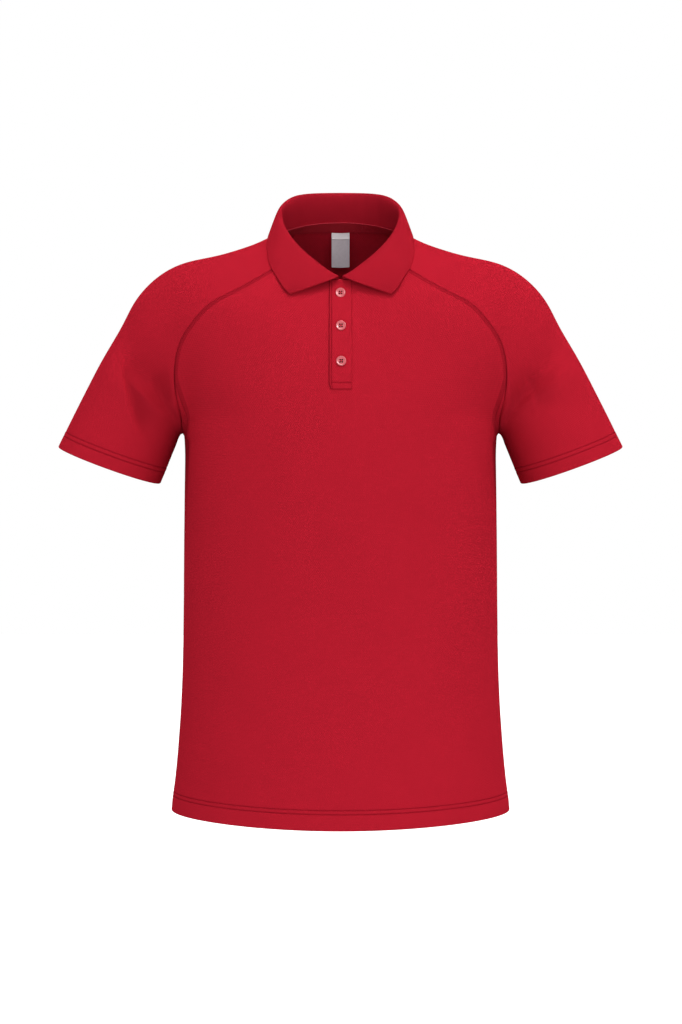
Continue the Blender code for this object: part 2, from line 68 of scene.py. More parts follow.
SIDE_LINE = (  # z, half_width
    (-0.7350, 0.2147), (-0.7240, 0.2137), (-0.6930, 0.2099), (-0.6610, 0.2068),
    (-0.6290, 0.2043), (-0.5970, 0.2023), (-0.5330, 0.2001), (-0.4700, 0.1992),
    (-0.4070, 0.1988), (-0.3420, 0.1981), (-0.2900, 0.1973), (-0.2700, 0.1970),
    (-0.2620, 0.1982), (-0.2570, 0.2010),
)
FRONT_LINE = (  # z, y at centre front
    (-0.7412, -0.1370), (-0.6500, -0.1320), (-0.5400, -0.1290), (-0.4300, -0.1310),
    (-0.3300, -0.1350), (-0.2500, -0.1345), (-0.2000, -0.1280), (-0.1500, -0.1150),
    (-0.1100, -0.0985), (-0.0715, -0.0780),
)
BACK_LINE = (  # z, y at centre back
    (-0.7412, 0.1330), (-0.6500, 0.1260), (-0.5400, 0.1180), (-0.4300, 0.1170),
    (-0.3300, 0.1240), (-0.2500, 0.1300), (-0.1800, 0.1290), (-0.1200, 0.1215),
    (-0.0600, 0.1060), (-0.0200, 0.0880), (0.0195, 0.0620),
)
FRONT_SEAM = (  # x, y, z, heading, climb
    (0.2010, -0.0020, -0.2570, 90, 0),
    (0.1990, -0.0150, -0.2420, 80, 0),
    (0.2030, -0.0340, -0.2195, 66, 2),
    (0.2060, -0.0540, -0.1920, 52, 4),
    (0.2033, -0.0700, -0.1648, 42, 7),
    (0.1954, -0.0810, -0.1424, 36, 10),
    (0.1807, -0.0900, -0.1224, 32, 13),
    (0.1620, -0.0950, -0.1034, 31, 16),
    (0.1338, -0.0960, -0.0876, 32, 20),
    (0.1108, -0.0910, -0.0747, 36, 24),
    (0.0873, -0.0780, -0.0593, 44, 30),
    (0.0616, -0.0550, -0.0416, 58, 37),
)
BACK_SEAM = (  # x, y, z, heading, climb
    (0.2010, -0.0020, -0.2570, 90, 0),
    (0.1990, 0.0140, -0.2420, 80, 0),
    (0.2010, 0.0360, -0.2195, 66, 2),
    (0.2025, 0.0590, -0.1920, 52, 4),
    (0.2000, 0.0770, -0.1640, 42, 7),
    (0.1925, 0.0900, -0.1380, 36, 10),
    (0.1790, 0.0985, -0.1130, 32, 13),
    (0.1600, 0.1030, -0.0880, 31, 15),
    (0.1350, 0.1020, -0.0640, 33, 16),
    (0.1080, 0.0930, -0.0400, 38, 14),
    (0.0810, 0.0730, -0.0130, 46, 8),
    (0.0570, 0.0450, 0.0125, 56, -14),
)
SHOULDER_LINE = (  # x, y, z of the sleeve's upper edge as seen from the front, cuff to neck
    (0.3581, -0.0020, -0.2736), (0.3395, -0.0010, -0.2353), (0.3191, 0.0005, -0.1946),
    (0.2975, 0.0020, -0.1538), (0.2745, 0.0035, -0.1131), (0.2643, 0.0040, -0.0927),
    (0.2490, 0.0045, -0.0723), (0.2248, 0.0050, -0.0519), (0.2045, 0.0050, -0.0417),
    (0.1624, 0.0050, -0.0320), (0.1255, 0.0050, -0.0213), (0.0962, 0.0055, -0.0090),
    (0.0780, 0.0060, 0.0000),
)
UNDERARM_LINE = (  # x, y, z of the sleeve's underarm seam, cuff to underarm
    (0.2300, -0.0020, -0.3210), (0.2197, -0.0020, -0.2965), (0.2112, -0.0020, -0.2760),
    (0.2068, -0.0020, -0.2655), (0.2042, -0.0020, -0.2595), (0.2010, -0.0020, -0.2570),
)
TUBE_SHARE = 0.245  # the closed part of the sleeve, as a share of the shoulder line
FOLD_SHARE = 0.50  # how far up the raglan seam the fold between sleeve and body reaches
CUFF_DIP = 0.0060  # how far the front of the cuff hangs below its sides
SLEEVE_FULLNESS = ((0.0, 0.84), (0.5, 0.88), (1.0, 0.93), (1.5, 1.0), (2.0, 1.0))  # row, fullness
FOLD_SPREAD = 3.6  # how strongly the cloth heads outward in the middle of that fold
NECK_SHARE = 0.8  # share of the raglan seam from where the sleeve turns into the neckline's way
NECK_CLIMB = 17  # degrees the neckline rises from front to back at the shoulder

FOLDS = (  # side, upper x, z, lower x, z, half_width, depth
    (1, -0.2660, -0.1840, -0.2440, -0.2460, 0.0130, 0.0016),
    (1, 0.2610, -0.1760, 0.2400, -0.2320, 0.0140, 0.0026),
    (-1, -0.2580, -0.1720, -0.2390, -0.2400, 0.0150, 0.0030),
    (-1, 0.2640, -0.1800, 0.2420, -0.2380, 0.0140, 0.0034),
    (1, -0.1500, -0.2250, -0.1180, -0.2800, 0.0200, 0.0008),
    (1, 0.1520, -0.2150, 0.1240, -0.2720, 0.0200, 0.0018),
    (-1, -0.1480, -0.2400, -0.1080, -0.3350, 0.0240, 0.0030),
    (-1, 0.1500, -0.2300, 0.1130, -0.3200, 0.0240, 0.0034),
    (-1, -0.0350, -0.3800, 0.0420, -0.4350, 0.0300, 0.0026),
)
FOLD_FADE = 0.055  # distance over which a fold dies out beside a seam
CREASES = (  # side, x and z of the start, the middle and the end, reach, depth: crisp on the left of its run
    (1, -0.2760, -0.1500, -0.2760, -0.2110, -0.2360, -0.2900, 0.0085, 0.0050),
    (1, -0.2460, -0.1850, -0.2330, -0.2120, -0.2160, -0.2330, 0.0120, 0.0022),
    (1, 0.2270, -0.1820, 0.2380, -0.2060, 0.2420, -0.2400, 0.0120, 0.0030),
    (1, 0.2160, -0.2360, 0.2330, -0.2180, 0.2560, -0.2080, 0.0110, 0.0024),
    (-1, -0.2640, -0.1700, -0.2560, -0.2080, -0.2350, -0.2480, 0.0110, 0.0044),
    (-1, -0.2500, -0.2280, -0.2300, -0.2160, -0.2120, -0.1960, 0.0120, 0.0030),
    (-1, 0.2350, -0.1740, 0.2520, -0.2040, 0.2560, -0.2450, 0.0120, 0.0042),
    (-1, 0.2080, -0.2100, 0.2260, -0.2260, 0.2440, -0.2330, 0.0110, 0.0028),
    (-1, -0.1760, -0.2300, -0.1500, -0.2900, -0.1180, -0.3300, 0.0170, 0.0042),
    (-1, 0.1300, -0.3400, 0.1560, -0.2850, 0.1760, -0.2300, 0.0180, 0.0040),
    (-1, -0.0900, -0.4300, 0.0050, -0.4520, 0.0850, -0.4200, 0.0200, 0.0040),
)
CREASE_END = 0.35  # share of a crease's run over which it begins, and again over which it ends
CREASE_CLOSE = 0.006  # how far past its ends a crease still shows
CREASE_FADE = 0.012  # distance over which it dies out beside a seam
CREASE_DEEP = 0.0052
CREASE_SHADE = 0.30  # depth of painted shade in a crease that deep
ARM_SHADE = 0.36  # depth of painted shade along the sleeve's underarm
ARM_SHADE_REACH = 0.050
ARMPIT_REACH = 0.016  # how far round the underarm's point the cloth is drawn in
ARMPIT_ROUND = 0.0045  # how near the point it is left as it was
ARMPIT_DEPTH = 0.0013
CREVICE_SHIFT = (  # share of the raglan seam, how far it comes forward out of the armpit
    (0.00, 0.0), (0.03, 0.0200), (0.06, 0.0260), (0.10, 0.0260),
    (0.18, 0.0190), (0.30, 0.0070), (0.42, 0.0),
)
CREVICE_REACH = 0.016
FORWARD_SEAM = (  # z, how far in front of the underarm the front panel's seam shows, along x
    (-0.5100, 0.0), (-0.4700, 0.0012), (-0.4200, 0.0034), (-0.3420, 0.0060),
    (-0.3000, 0.0073), (-0.2570, 0.0086), (-0.2420, 0.0079), (-0.2195, 0.0050),
    (-0.1920, 0.0008), (-0.1750, 0.0),
)
FORWARD_SHARES = {-1: 1.0, 1: 0.75}  # how much of that the two sides have
STRIP_SHADOW = (  # z, depth of painted shadow beside that seam under the sleeve, on the side that faces away
    (-0.4700, 0.0), (-0.4000, 0.10), (-0.3420, 0.22), (-0.3000, 0.42),
    (-0.2600, 0.55), (-0.2350, 0.20), (-0.2000, 0.0),
)
LINE_SHADE = (  # z, strength of the seam's own painted shade there
    (-0.3200, 0.0), (-0.2700, 0.50), (-0.2350, 1.25), (-0.1980, 1.35),
    (-0.1750, 0.0),
)
LINE_UNIT = 0.010  # the distance from the seam is stored in these, 1 at the seam itself

COLLAR_STATIONS = (  # share, fold x, y, z, edge x, y, z
    (0.00, 0.0019, -0.0870, -0.0672, 0.0612, -0.1035, -0.0905),
    (0.15, 0.0250, -0.0755, -0.0520, 0.0700, -0.0995, -0.0825),
    (0.31, 0.0500, -0.0565, -0.0290, 0.0800, -0.0870, -0.0660),
    (0.46, 0.0690, -0.0290, -0.0010, 0.0895, -0.0610, -0.0440),
    (0.61, 0.0755, 0.0020, 0.0280, 0.0915, -0.0100, -0.0080),
    (0.70, 0.0708, 0.0200, 0.0398, 0.0872, 0.0230, 0.0015),
    (0.80, 0.0590, 0.0400, 0.0512, 0.0730, 0.0480, 0.0070),
    (0.90, 0.0360, 0.0550, 0.0574, 0.0430, 0.0660, 0.0120),
    (1.00, 0.0000, 0.0610, 0.0591, 0.0000, 0.0735, 0.0145),
)
COLLAR_GAP = 0.0026  # how far each front end of the collar stays from the centre
STAND_BEND = 0.0035  # radius of the collar's fold on the neck's side
FALL_BEND = 0.0032  # radius of the fold on the outer side

PLACKET_WIDTH = 0.0280
PLACKET_END = -0.2095
SLIT_WIDTH = 0.0180
SLIT_END = -0.2040
TAPE_WIDTH = 0.0120
TAPE_SHARE = 0.36  # place along the neckline where the tape starts on each side
LABEL_WIDTH = 0.0240
LABEL_LENGTH = 0.0470
LABEL_DROP = 0.0018
LABEL_LEAN = 0.10
LABEL_BOW = 0.0008
BUTTON_PLACES = ((0.0000, -0.0888), (0.0005, -0.1309), (0.0008, -0.1750))  # x, z
BUTTON_RADIUS = 0.0061

# ----------------------------------------
# Sizes that only show close by

MM = 0.001
HEM_ROWS = (0.0198, 0.0247)  # stitch rows on the body, above the hem
CUFF_ROWS = (0.0166, 0.0220)  # stitch rows on the sleeves, above the cuff
BODY_SEAM = (  # distance from the raglan seam, height of the body's cloth, both in mm
    (0.0, -0.48), (0.5, -0.34), (1.2, -0.24), (2.4, -0.14),
    (4.2, -0.12), (4.6, -0.30), (5.0, -0.44), (5.4, -0.26),
    (6.0, -0.02), (7.5, 0.0),
)
SLEEVE_SEAM = (  # distance from the raglan seam, height of the sleeve's cloth, both in mm
    (0.0, -0.48), (0.2, -0.26), (0.5, -0.06), (0.9, 0.12),
    (1.6, 0.20), (3.2, 0.08), (5.0, 0.0),
)
PLAIN_SEAM = (  # distance from a side or underarm seam, height of the cloth, both in mm
    (0.0, -0.80), (0.25, -0.50), (0.6, -0.22), (1.2, -0.05),
    (2.4, 0.0),
)
SEAM_TRIM = 0.03 * MM  # the outer skins of two panels almost touch at their seam
RAGLAN_SHADE = (  # distance from the raglan seam in mm, depth of painted shade on the body's side
    (0.0, 0.42), (1.2, 0.40), (2.6, 0.35), (3.8, 0.30),
    (4.6, 0.24), (5.1, 0.22), (5.6, 0.08), (6.3, 0.0),
)
SLEEVE_SHADE = (  # distance from the raglan seam in mm, depth of painted shade on the sleeve's side
    (0.0, 0.40), (0.4, 0.18), (0.9, 0.04), (1.8, 0.0),
)
PLAIN_SHADE = (  # distance from a side or underarm seam in mm, depth of painted shade
    (0.0, 0.80), (0.4, 0.45), (0.9, 0.15), (1.8, 0.0),
)
ROW_SHADE = 0.50  # depth of painted shade along a stitch row
EDGE_STEPS = (0, 0.2, 0.5, 0.9, 1.4, 2.1, 3.0, 3.9, 4.5, 5.0, 5.5, 6.2, 7.5, 9.5)  # mm from a seam
FREE_EDGE_STEPS = (0, 0.1, 0.3, 0.6, 1.0)  # mm from a hem, rounded
STITCH_DEPTH = 0.42 * MM  # how deep a stitch row lies
STITCH_WIDTH = 0.75 * MM  # half the width of the trough it makes
STITCH_PITCH = 3.1 * MM
STITCH_LENGTH = 2.6 * MM
THREAD = 0.21 * MM  # radius of the sewing thread
HEM_DEPTH = 0.0262  # how far the cloth is turned up inside the body's hem
CUFF_DEPTH = 0.0235
RAGLAN_ROW = 5.0  # the body's stitch row in the steps from its raglan seam
FRONT_STITCHED_FROM = 1.24  # place of the front's rows where that stitch row starts
HEM_SWELL = 0.20 * MM
HEM_PUCKER = 0.13 * MM
SEAM_PUCKER = 0.14 * MM
EDGE_ROUND = 1.1 * MM  # radius of a turned hem's edge
ALLOWANCE_WIDTH = 6.5 * MM
ALLOWANCE = 0.8 * MM  # how much thicker the cloth is on its seam allowance
LINE_POINTS = 181
RELAX_REACH = 0.03  # distance from a seam over which the rows begin to be evened out
RELAX_NECK = 0.15  # the same below the neckline, as a difference of place
SEAM_CHANGE = (0.995, 0.03)  # place where the raglan's look takes over from the plain seam's, and its width
AHEAD = (0.004, 0.010)  # distance in front of the side seam where the drawn seam takes over, and its width
AHEAD_PLACES = (1.12, 0.13)  # place up to which it does, and its width

DENSE = np.linspace(0.0, 1.0, LINE_POINTS)


# ----------------------------------------
# Curves


def spline(knots, values, where):
    """A natural cubic spline through the values, one row a knot, read at the places in where."""
    knots = np.asarray(knots, float)
    values = np.asarray(values, float).reshape(len(knots), -1)
    where = np.atleast_1d(np.asarray(where, float))
    step = np.diff(knots)
    slope = np.diff(values, axis=0) / step[:, None]
    system = np.eye(len(knots))
    change = np.zeros_like(values)
    for i in range(1, len(knots) - 1):
        system[i, i - 1 : i + 2] = step[i - 1], 2 * (step[i - 1] + step[i]), step[i]
        change[i] = 6 * (slope[i] - slope[i - 1])
    bend = np.linalg.solve(system, change)
    cell = np.clip(np.searchsorted(knots, where, side="right") - 1, 0, len(step) - 1)
    after = ((where - knots[cell]) / step[cell])[:, None]
    before = 1 - after
    pull = (before**3 - before) * bend[cell] + (after**3 - after) * bend[cell + 1]
    return before * values[cell] + after * values[cell + 1] + pull * step[cell, None] ** 2 / 6


def read(table, where):
    """The second column of a two-column table, at the places in where of its first column."""
    return spline([row[0] for row in table], [row[1] for row in table], where)[:, 0]


def along(table, share):
    """A row of the table at a share of its curve's length. The first three columns are x, y, z."""
    rows = np.array(table, float)
    return spline(shares(rows[:, :3]), rows, share)[0]


def lengths(points):
    return np.concatenate([[0.0], np.cumsum(np.linalg.norm(np.diff(points, axis=0), axis=1))])


def shares(points):
    run = lengths(points)
    return run / run[-1]


def sample(where, run, points):
    """Every column of the points, read at the places in where of the numbers in run."""
    return np.stack([np.interp(where, run, column) for column in points.T], axis=-1)


def at_distance(points, wanted):
    """The points of a polyline at the wanted distances along it."""
    return sample(wanted, lengths(points), points)


def unit(vector):
    return vector / np.linalg.norm(vector)


def square(vector, run):
    """The way of the part of a vector that is square to a unit way."""
    return unit(vector - run * np.dot(vector, run))


def ease(amount):
    amount = np.clip(amount, 0.0, 1.0)
    return amount * amount * (3 - 2 * amount)


def way(heading, climb, side):
    """A direction outward to +X, turned by the heading towards +Y (side 1) or -Y (side -1)."""
    heading = math.radians(heading)
    climb = math.radians(climb)
    level = math.cos(climb)
    return np.array([level * math.cos(heading), side * level * math.sin(heading), math.sin(climb)])


def bezier(start, start_handle, end_handle, end):
    t = DENSE[:, None]
    s = 1 - t
    return s**3 * start + 3 * s * s * t * start_handle + 3 * s * t * t * end_handle + t**3 * end


def turn_between(start_way, end_way):
    """The angle between two ways, in radians."""
    return math.acos(max(-1.0, min(1.0, float(np.dot(start_way, end_way)))))


def body_bow(start, start_way, end, end_way, fullness):
    """A bow whose handles follow the chord's reach along each end's direction, as in an ellipse."""
    turn = max(turn_between(start_way, end_way), 0.02)
    factor = fullness * 4 / 3 * math.tan(turn / 4) / math.sin(turn)
    chord = end - start
    start_handle = start + start_way * factor * abs(np.dot(chord, start_way))
    end_handle = end - end_way * factor * abs(np.dot(chord, end_way))
    return bezier(start, start_handle, end_handle, end)


def arm_bow(start, start_way, end, end_way, fullness, dip):
    """A bow whose two handles are alike, as in an arc that may turn by up to half a circle."""
    turn = max(turn_between(start_way, end_way), 0.02)
    handle = fullness * 2 / 3 * math.tan(turn / 4) / math.sin(turn / 2)
    handle *= np.linalg.norm(end - start)
    return bezier(start, start + start_way * handle + dip, end - end_way * handle + dip, end)


# ----------------------------------------
# Rows of the panels. A row's place is 0 at the hem or cuff, 1 at the underarm and 2 at the neck.


def seam_row(table, share, side):
    """A raglan seam at a share of its length: point, the body's way into it, the way across it."""
    x, y, z, heading, climb = along(table, share)
    near = 0.01
    run = unit(along(table, min(share + near, 1.0))[:3] - along(table, max(share - near, 0.0))[:3])
    arrive = way(heading, climb, side)
    return np.array([x, y, z]), arrive, square(arrive, run)


def body_row(place, side, trim=GAP):
    """Half of a body row, from its centre out to the seam. Side 1 is the front, -1 is the back."""
    front = side > 0
    line = FRONT_LINE if front else BACK_LINE
    hem = HEM_FRONT if front else HEM_BACK
    neck = NECK_FRONT if front else NECK_BACK
    table = FRONT_SEAM if front else BACK_SEAM
    if place <= 1:
        z = hem + (UNDERARM - hem) * place
        edge_z = HEM_SIDE + (UNDERARM - HEM_SIDE) * place
        end = np.array([read(SIDE_LINE, edge_z)[0], SIDE_SEAM_Y, edge_z])
        arrive = way(90, 0, side)
        across = arrive / 2
        if place == 1:
            across = seam_row(table, 0.0, side)[2]
    else:
        z = UNDERARM + (neck - UNDERARM) * (place - 1)
        end, arrive, across = seam_row(table, place - 1, side)
    start = np.array([0.0, read(line, z)[0], z])
    fullness = read(BODY_FULLNESS, place)[0]
    return body_bow(start, np.array([1.0, 0.0, 0.0]), end - across * trim, arrive, fullness)


def sleeve_half(place, side):
    """Half of a sleeve section, from the front or back seam up to the shoulder line."""
    fullness = read(SLEEVE_FULLNESS, place)[0]
    forward = np.array([0.0, -float(side), 0.0])
    over = -forward
    dip = np.zeros(3)
    if place <= 1:
        start = along(UNDERARM_LINE, place)[:3]
        top = along(SHOULDER_LINE, place * TUBE_SHARE)[:3]
        arm_way = unit(along(UNDERARM_LINE, 0.0)[:3] - along(UNDERARM_LINE, 0.4)[:3])
        dip = arm_way * CUFF_DIP * side * (1 - ease(place))
        leave = forward
    else:
        share = place - 1
        table = FRONT_SEAM if side > 0 else BACK_SEAM
        start, arrive, across = seam_row(table, share, side)
        top = along(SHOULDER_LINE, TUBE_SHARE + (1 - TUBE_SHARE) * share)[:3]
        fold = 1 - ease(share / FOLD_SHARE)
        outward = np.array([FOLD_SPREAD * fold * (1 - fold), 0.0, 0.0])
        neck = ease((share - NECK_SHARE) / (1 - NECK_SHARE))
        leave = unit(across * (1 - fold) + forward * fold + outward)
        leave = unit(leave * (1 - neck) + arrive * neck)
        over = unit(over + np.array([0.0, 0.0, side * math.tan(math.radians(NECK_CLIMB))]) * neck)
    return arm_bow(start, leave, top, over, fullness, dip)


LOOPS = {}


def neck_loop(place):
    """Half of a loop round the neck at a row's place, from centre front to centre back."""
    if place not in LOOPS:
        parts = (
            body_row(place, 1, trim=0.0),
            sleeve_half(place, 1)[1:],
            sleeve_half(place, -1)[::-1][1:],
            body_row(place, -1, trim=0.0)[::-1][1:],
        )
        LOOPS[place] = np.concatenate(parts)
    return LOOPS[place]


def neckline(share):
    """The neckline at a share of its half length: the point, and the way across it into the neck."""
    edge = neck_loop(2.0)
    run = shares(edge)
    point = sample(share, run, edge)
    under = sample(share, run, neck_loop(1.96))
    near = 6  # points on either side that give the neckline's own way
    place = min(max(np.searchsorted(run, share), near), len(edge) - near - 1)
    return point, square(point - under, unit(edge[place + near] - edge[place - near]))


def place_of(z):
    """The place of the front's row that starts at a height on the centre line."""
    return 1 + (z - UNDERARM) / (NECK_FRONT - UNDERARM)


def mirror(points):
    return points * np.array([-1.0, 1.0, 1.0])


# ----------------------------------------
# Meshes


def normals_of(grid):
    """The outward normals of a grid of points. Its rows run across, and follow each other up."""
    across = np.gradient(grid, axis=1)
    up = np.gradient(grid, axis=0)
    normals = np.cross(across, up)
    return normals / np.linalg.norm(normals, axis=2, keepdims=True)


def grain_at(across, up):
    """Places on the flat cloth, from distances across it and up it."""
    return np.stack(np.broadcast_arrays(across, up, 0.0), axis=-1)


def dress(obj, node=None):
    """The piece moves with the root body and stands for its solid, if any."""
    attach(obj, "root")
    if node:
        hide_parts(node)
    return obj


def place_in_scene(name, data):
    obj = bpy.data.objects.new(name, data)
    bpy.context.scene.collection.objects.link(obj)
    return obj


def add_object(name, points, faces, material, sharp=40):
    """A smooth object, with sharp edges where its faces meet at more than an angle in degrees."""
    mesh = bpy.data.meshes.new(name)
    mesh.from_pydata(np.asarray(points, float).tolist(), [], faces)
    mesh.update()
    mesh.shade_smooth()
    if sharp:
        mesh.set_sharp_from_angle(angle=math.radians(sharp))
    mesh.materials.append(material)
    return place_in_scene(name, mesh)


KINDS = {1: ("FLOAT", "value"), 3: ("FLOAT_VECTOR", "vector")}  # parts of a value: kind, field


def wall(name, grid, height, thickness, grain, painted_shade, material, open_cells=None, fields=None):
    """A closed wall: its outer face at a height over the grid, its inner face a thickness below.

    Grain holds each point's place on the flat cloth, the next argument its depth of painted shade, and fields
    any other values. Open cells are left out. Returns the object, its outer points and their normals.
    """
    rows, columns = grid.shape[:2]
    normals = normals_of(grid)
    outer = grid + normals * height[..., None]
    inner = grid + normals * (height - thickness)[..., None]
    corner = np.arange(rows * columns).reshape(rows, columns)
    keep = np.ones((rows - 1, columns - 1), bool)
    if open_cells is not None:
        keep &= ~open_cells
    a = corner[:-1, :-1][keep]
    b = corner[:-1, 1:][keep]
    c = corner[1:, 1:][keep]
    d = corner[1:, :-1][keep]
    count = rows * columns
    front = np.column_stack([a, b, c, d])
    back = np.column_stack([d, c, b, a]) + count
    starts = front.ravel()
    ends = np.roll(front, -1, axis=1).ravel()
    forward = starts * count + ends
    backward = ends * count + starts
    single = ~np.isin(forward, backward)
    rim = np.column_stack([ends[single], starts[single], starts[single] + count, ends[single] + count])
    faces = np.concatenate([front, back, rim])
    points = np.concatenate([outer.reshape(-1, 3), inner.reshape(-1, 3)])
    used = np.unique(faces)
    place = np.zeros(2 * count, int)
    place[used] = np.arange(len(used))
    obj = add_object(name, points[used], place[faces].tolist(), material, sharp=60)
    for word, values in {"grain": grain, "painted_shade": painted_shade, **(fields or {})}.items():
        values = np.concatenate([values.reshape(count, -1)] * 2)[used]
        kind, field = KINDS[values.shape[1]]
        attribute = obj.data.attributes.new(word, kind, "POINT")
        attribute.data.foreach_set(field, values.astype(np.float32).ravel())
    return obj, outer, normals


def distance_to_edge(grid, edge, reach=9):
    """How far every point of a grid lies from a polyline that has one point for each row."""
    rows = np.arange(len(grid))
    nearest = np.full(grid.shape[:2], np.inf)
    for shift in range(-reach, reach):
        first = np.clip(rows + shift, 0, len(grid) - 2)
        start = edge[first][:, None]
        run = edge[first + 1][:, None] - start
        share = np.sum((grid - start) * run, axis=2) / np.maximum(np.sum(run * run, axis=2), 1e-12)
        spot = start + run * np.clip(share, 0.0, 1.0)[..., None]
        nearest = np.minimum(nearest, np.linalg.norm(grid - spot, axis=2))
    return nearest


def slants(halves, tips):
    """How much longer a distance is along each row than square to the seam at the row's end."""
    seam = np.gradient(tips, axis=0)
    seam /= np.linalg.norm(seam, axis=1, keepdims=True)
    ends = np.array([unit(half[0] - half[4]) for half in halves])
    square_on = np.sqrt(np.maximum(1 - np.sum(seam * ends, axis=1) ** 2, 0.15))
    window = 13  # rows over which the result is evened out
    spread = np.pad(1 / square_on, window // 2, mode="edge")
    return np.convolve(spread, np.ones(window) / window, mode="valid")


def relaxed(grid, from_seam, from_hem, places, hem_free, hem_reach, rounds):
    """The grid with its points drawn towards the middle of the rows above and below.

    It stays as it was beside the seams, the neckline and the hem.
    """
    grid = grid.copy()
    weight = ease(from_seam / RELAX_REACH) * ease((from_hem - hem_free) / hem_reach)
    weight = weight * ease((2.0 - places[:, None]) / RELAX_NECK)
    for _ in range(rounds):
        middle = (grid[2:] + grid[:-2]) / 2
        grid[1:-1] += 0.5 * weight[1:-1, :, None] * (middle - grid[1:-1])
    return grid


def profile(table, distance):
    """The height in metres that a table in mm gives at distances in metres."""
    return np.interp(distance / MM, [row[0] for row in table], [row[1] for row in table]) * MM


def trough(distance, middle, depth=STITCH_DEPTH, width=STITCH_WIDTH):
    """A soft trough round a stitch row, as heights below zero."""
    return -depth * bell(distance - middle, width)


def rounded(distance, radius):
    """How much of a wall's half thickness is left at a distance from its free edge."""
    short = np.clip(1 - distance / radius, 0.0, 0.94)
    return np.sqrt(1 - short * short)


def waves(run, *, lengths_mm, seed):
    """Uneven waves of a few lengths along a seam, from -1 to 1."""
    total = np.zeros_like(run)
    for count, length in enumerate(lengths_mm):
        phase = math.sin(seed * 12.9898 + count * 78.233) * 43.7585
        total += np.sin(run * 2 * math.pi / (length * MM) + phase)
    return total / len(lengths_mm)


def folds(grid, normals, from_seam):
    """How far every trough on the side that a point faces draws it in."""
    depth = np.zeros(grid.shape[:2])
    flat = grid[..., (0, 2)]
    for side, top_x, top_z, low_x, low_z, half_width, deepest in FOLDS:
        run = np.array([low_x - top_x, low_z - top_z])
        from_top = flat - (top_x, top_z)
        place = np.clip(from_top @ run / (run @ run), 0.0, 1.0)
        away = np.linalg.norm(from_top - run * place[..., None], axis=2) / half_width
        depth += deepest * np.exp(-away * away) * np.maximum(0.0, -side * normals[..., 1])
    return depth * ease(from_seam / FOLD_FADE)


def creases(grid, normals, from_seam):
    """How far the small creases draw a point in: abruptly beside their run, then less and less."""
    depth = np.zeros(grid.shape[:2])
    flat = grid[..., (0, 2)]
    share = np.linspace(0.0, 1.0, 25)[:, None]
    for side, *spots, reach, deepest in CREASES:
        start, middle, end = np.array(spots).reshape(3, 2)
        line = start * (1 - share) ** 2 + 2 * middle * share * (1 - share) + end * share**2
        away = np.linalg.norm(flat[..., None, :] - line, axis=-1)
        nearest = np.argmin(away, axis=-1)
        run = np.gradient(line, axis=0)[nearest]
        gap = flat - line[nearest]
        beside = (run[..., 0] * gap[..., 1] - run[..., 1] * gap[..., 0]) / np.linalg.norm(run, axis=-1)
        place = nearest / (len(line) - 1)
        ends = ease(place / CREASE_END) * ease((1 - place) / CREASE_END)
        far = np.clip(beside / reach, 0.0, None)
        shape = ease(far * 3) * far * np.exp(1 - far)
        close = bell(np.maximum(np.min(away, axis=-1) - abs(beside), 0.0), CREASE_CLOSE)
        depth += deepest * shape * ends * close * np.maximum(0.0, -side * normals[..., 1])
    return depth * ease(from_seam / CREASE_FADE)


def bell(distance, reach):
    """1 at no distance, and less and less over the reach."""
    return np.exp(-((distance / reach) ** 2))


def armpit(grid, heights, from_seam, places):
    """The heights with the cloth drawn in round the underarm's point, so that the gap there is round."""
    one_side = np.where(grid[..., :1] < 0, mirror(grid), grid)
    away = np.linalg.norm(one_side - UNDERARM_LINE[-1], axis=-1)
    near = bell(away, ARMPIT_REACH)
    closed = (places > 1)[:, None] * bell(from_seam, 3.0 * MM)
    hollow = ARMPIT_DEPTH * (1 - bell(away, ARMPIT_ROUND)) * (1 - closed)
    return heights * (1 - near) - near * hollow


def seam_strength(grid, places):
    """How strongly a seam shows: not at all in front of the armpit, where a line of painted shade takes over.
    """
    ahead = ease((-grid[..., 1] - AHEAD[0]) / AHEAD[1])
    low = 1 - ease((places - AHEAD_PLACES[0]) / AHEAD_PLACES[1])[:, None]
    upper = (places > 1)[:, None]
    return 1 - ahead * low * upper


def forward_line(points):
    """How far each point lies beyond the seam that shows in front of the armpit, inward below zero."""
    signed = np.full(points.shape[:2], -1.0)
    for hand, share in FORWARD_SHARES.items():
        edge = []
        for row in points[:, ::hand]:
            half = row[len(row) // 2 :]
            reach = half[:, 0] * hand
            inset = np.interp(half[-1, 2], *zip(*FORWARD_SEAM)) * share
            edge.append(sample(reach[-1] - inset, reach, half))
        edge = np.array(edge)
        beyond = np.where(points[..., 0] * hand > edge[:, None, 0] * hand, 1.0, -1.0)
        signed = np.where(points[..., 0] * hand > 0, distance_to_edge(points, edge) * beyond, signed)
    return signed


def out_of_armpit(grid, places, from_seam, side):
    """The grid with the lower part of its raglan seams brought out of the armpit's depth."""
    share = np.clip(places - 1, 0.0, CREVICE_SHIFT[-1][0])
    shift = read(CREVICE_SHIFT, share).clip(0, None)[:, None] * bell(from_seam, CREVICE_REACH)
    moved = grid.copy()
    moved[..., 1] -= shift * side
    return moved


# ----------------------------------------
# Stitches

STITCH_RINGS = (  # share of the stitch's length, then its thickness and its height in thread radii
    (0.0, 0.45, -0.9), (0.16, 0.95, 0.1), (0.5, 1.0, 0.55),
    (0.84, 0.95, 0.1), (1.0, 0.45, -0.9),
)
STITCH_SIDES = 6
STITCH_SPREAD = 1.15  # how much wider than high a stitch is
ROW_STEP = 0.0004  # distance over which a stitch row's own way is read


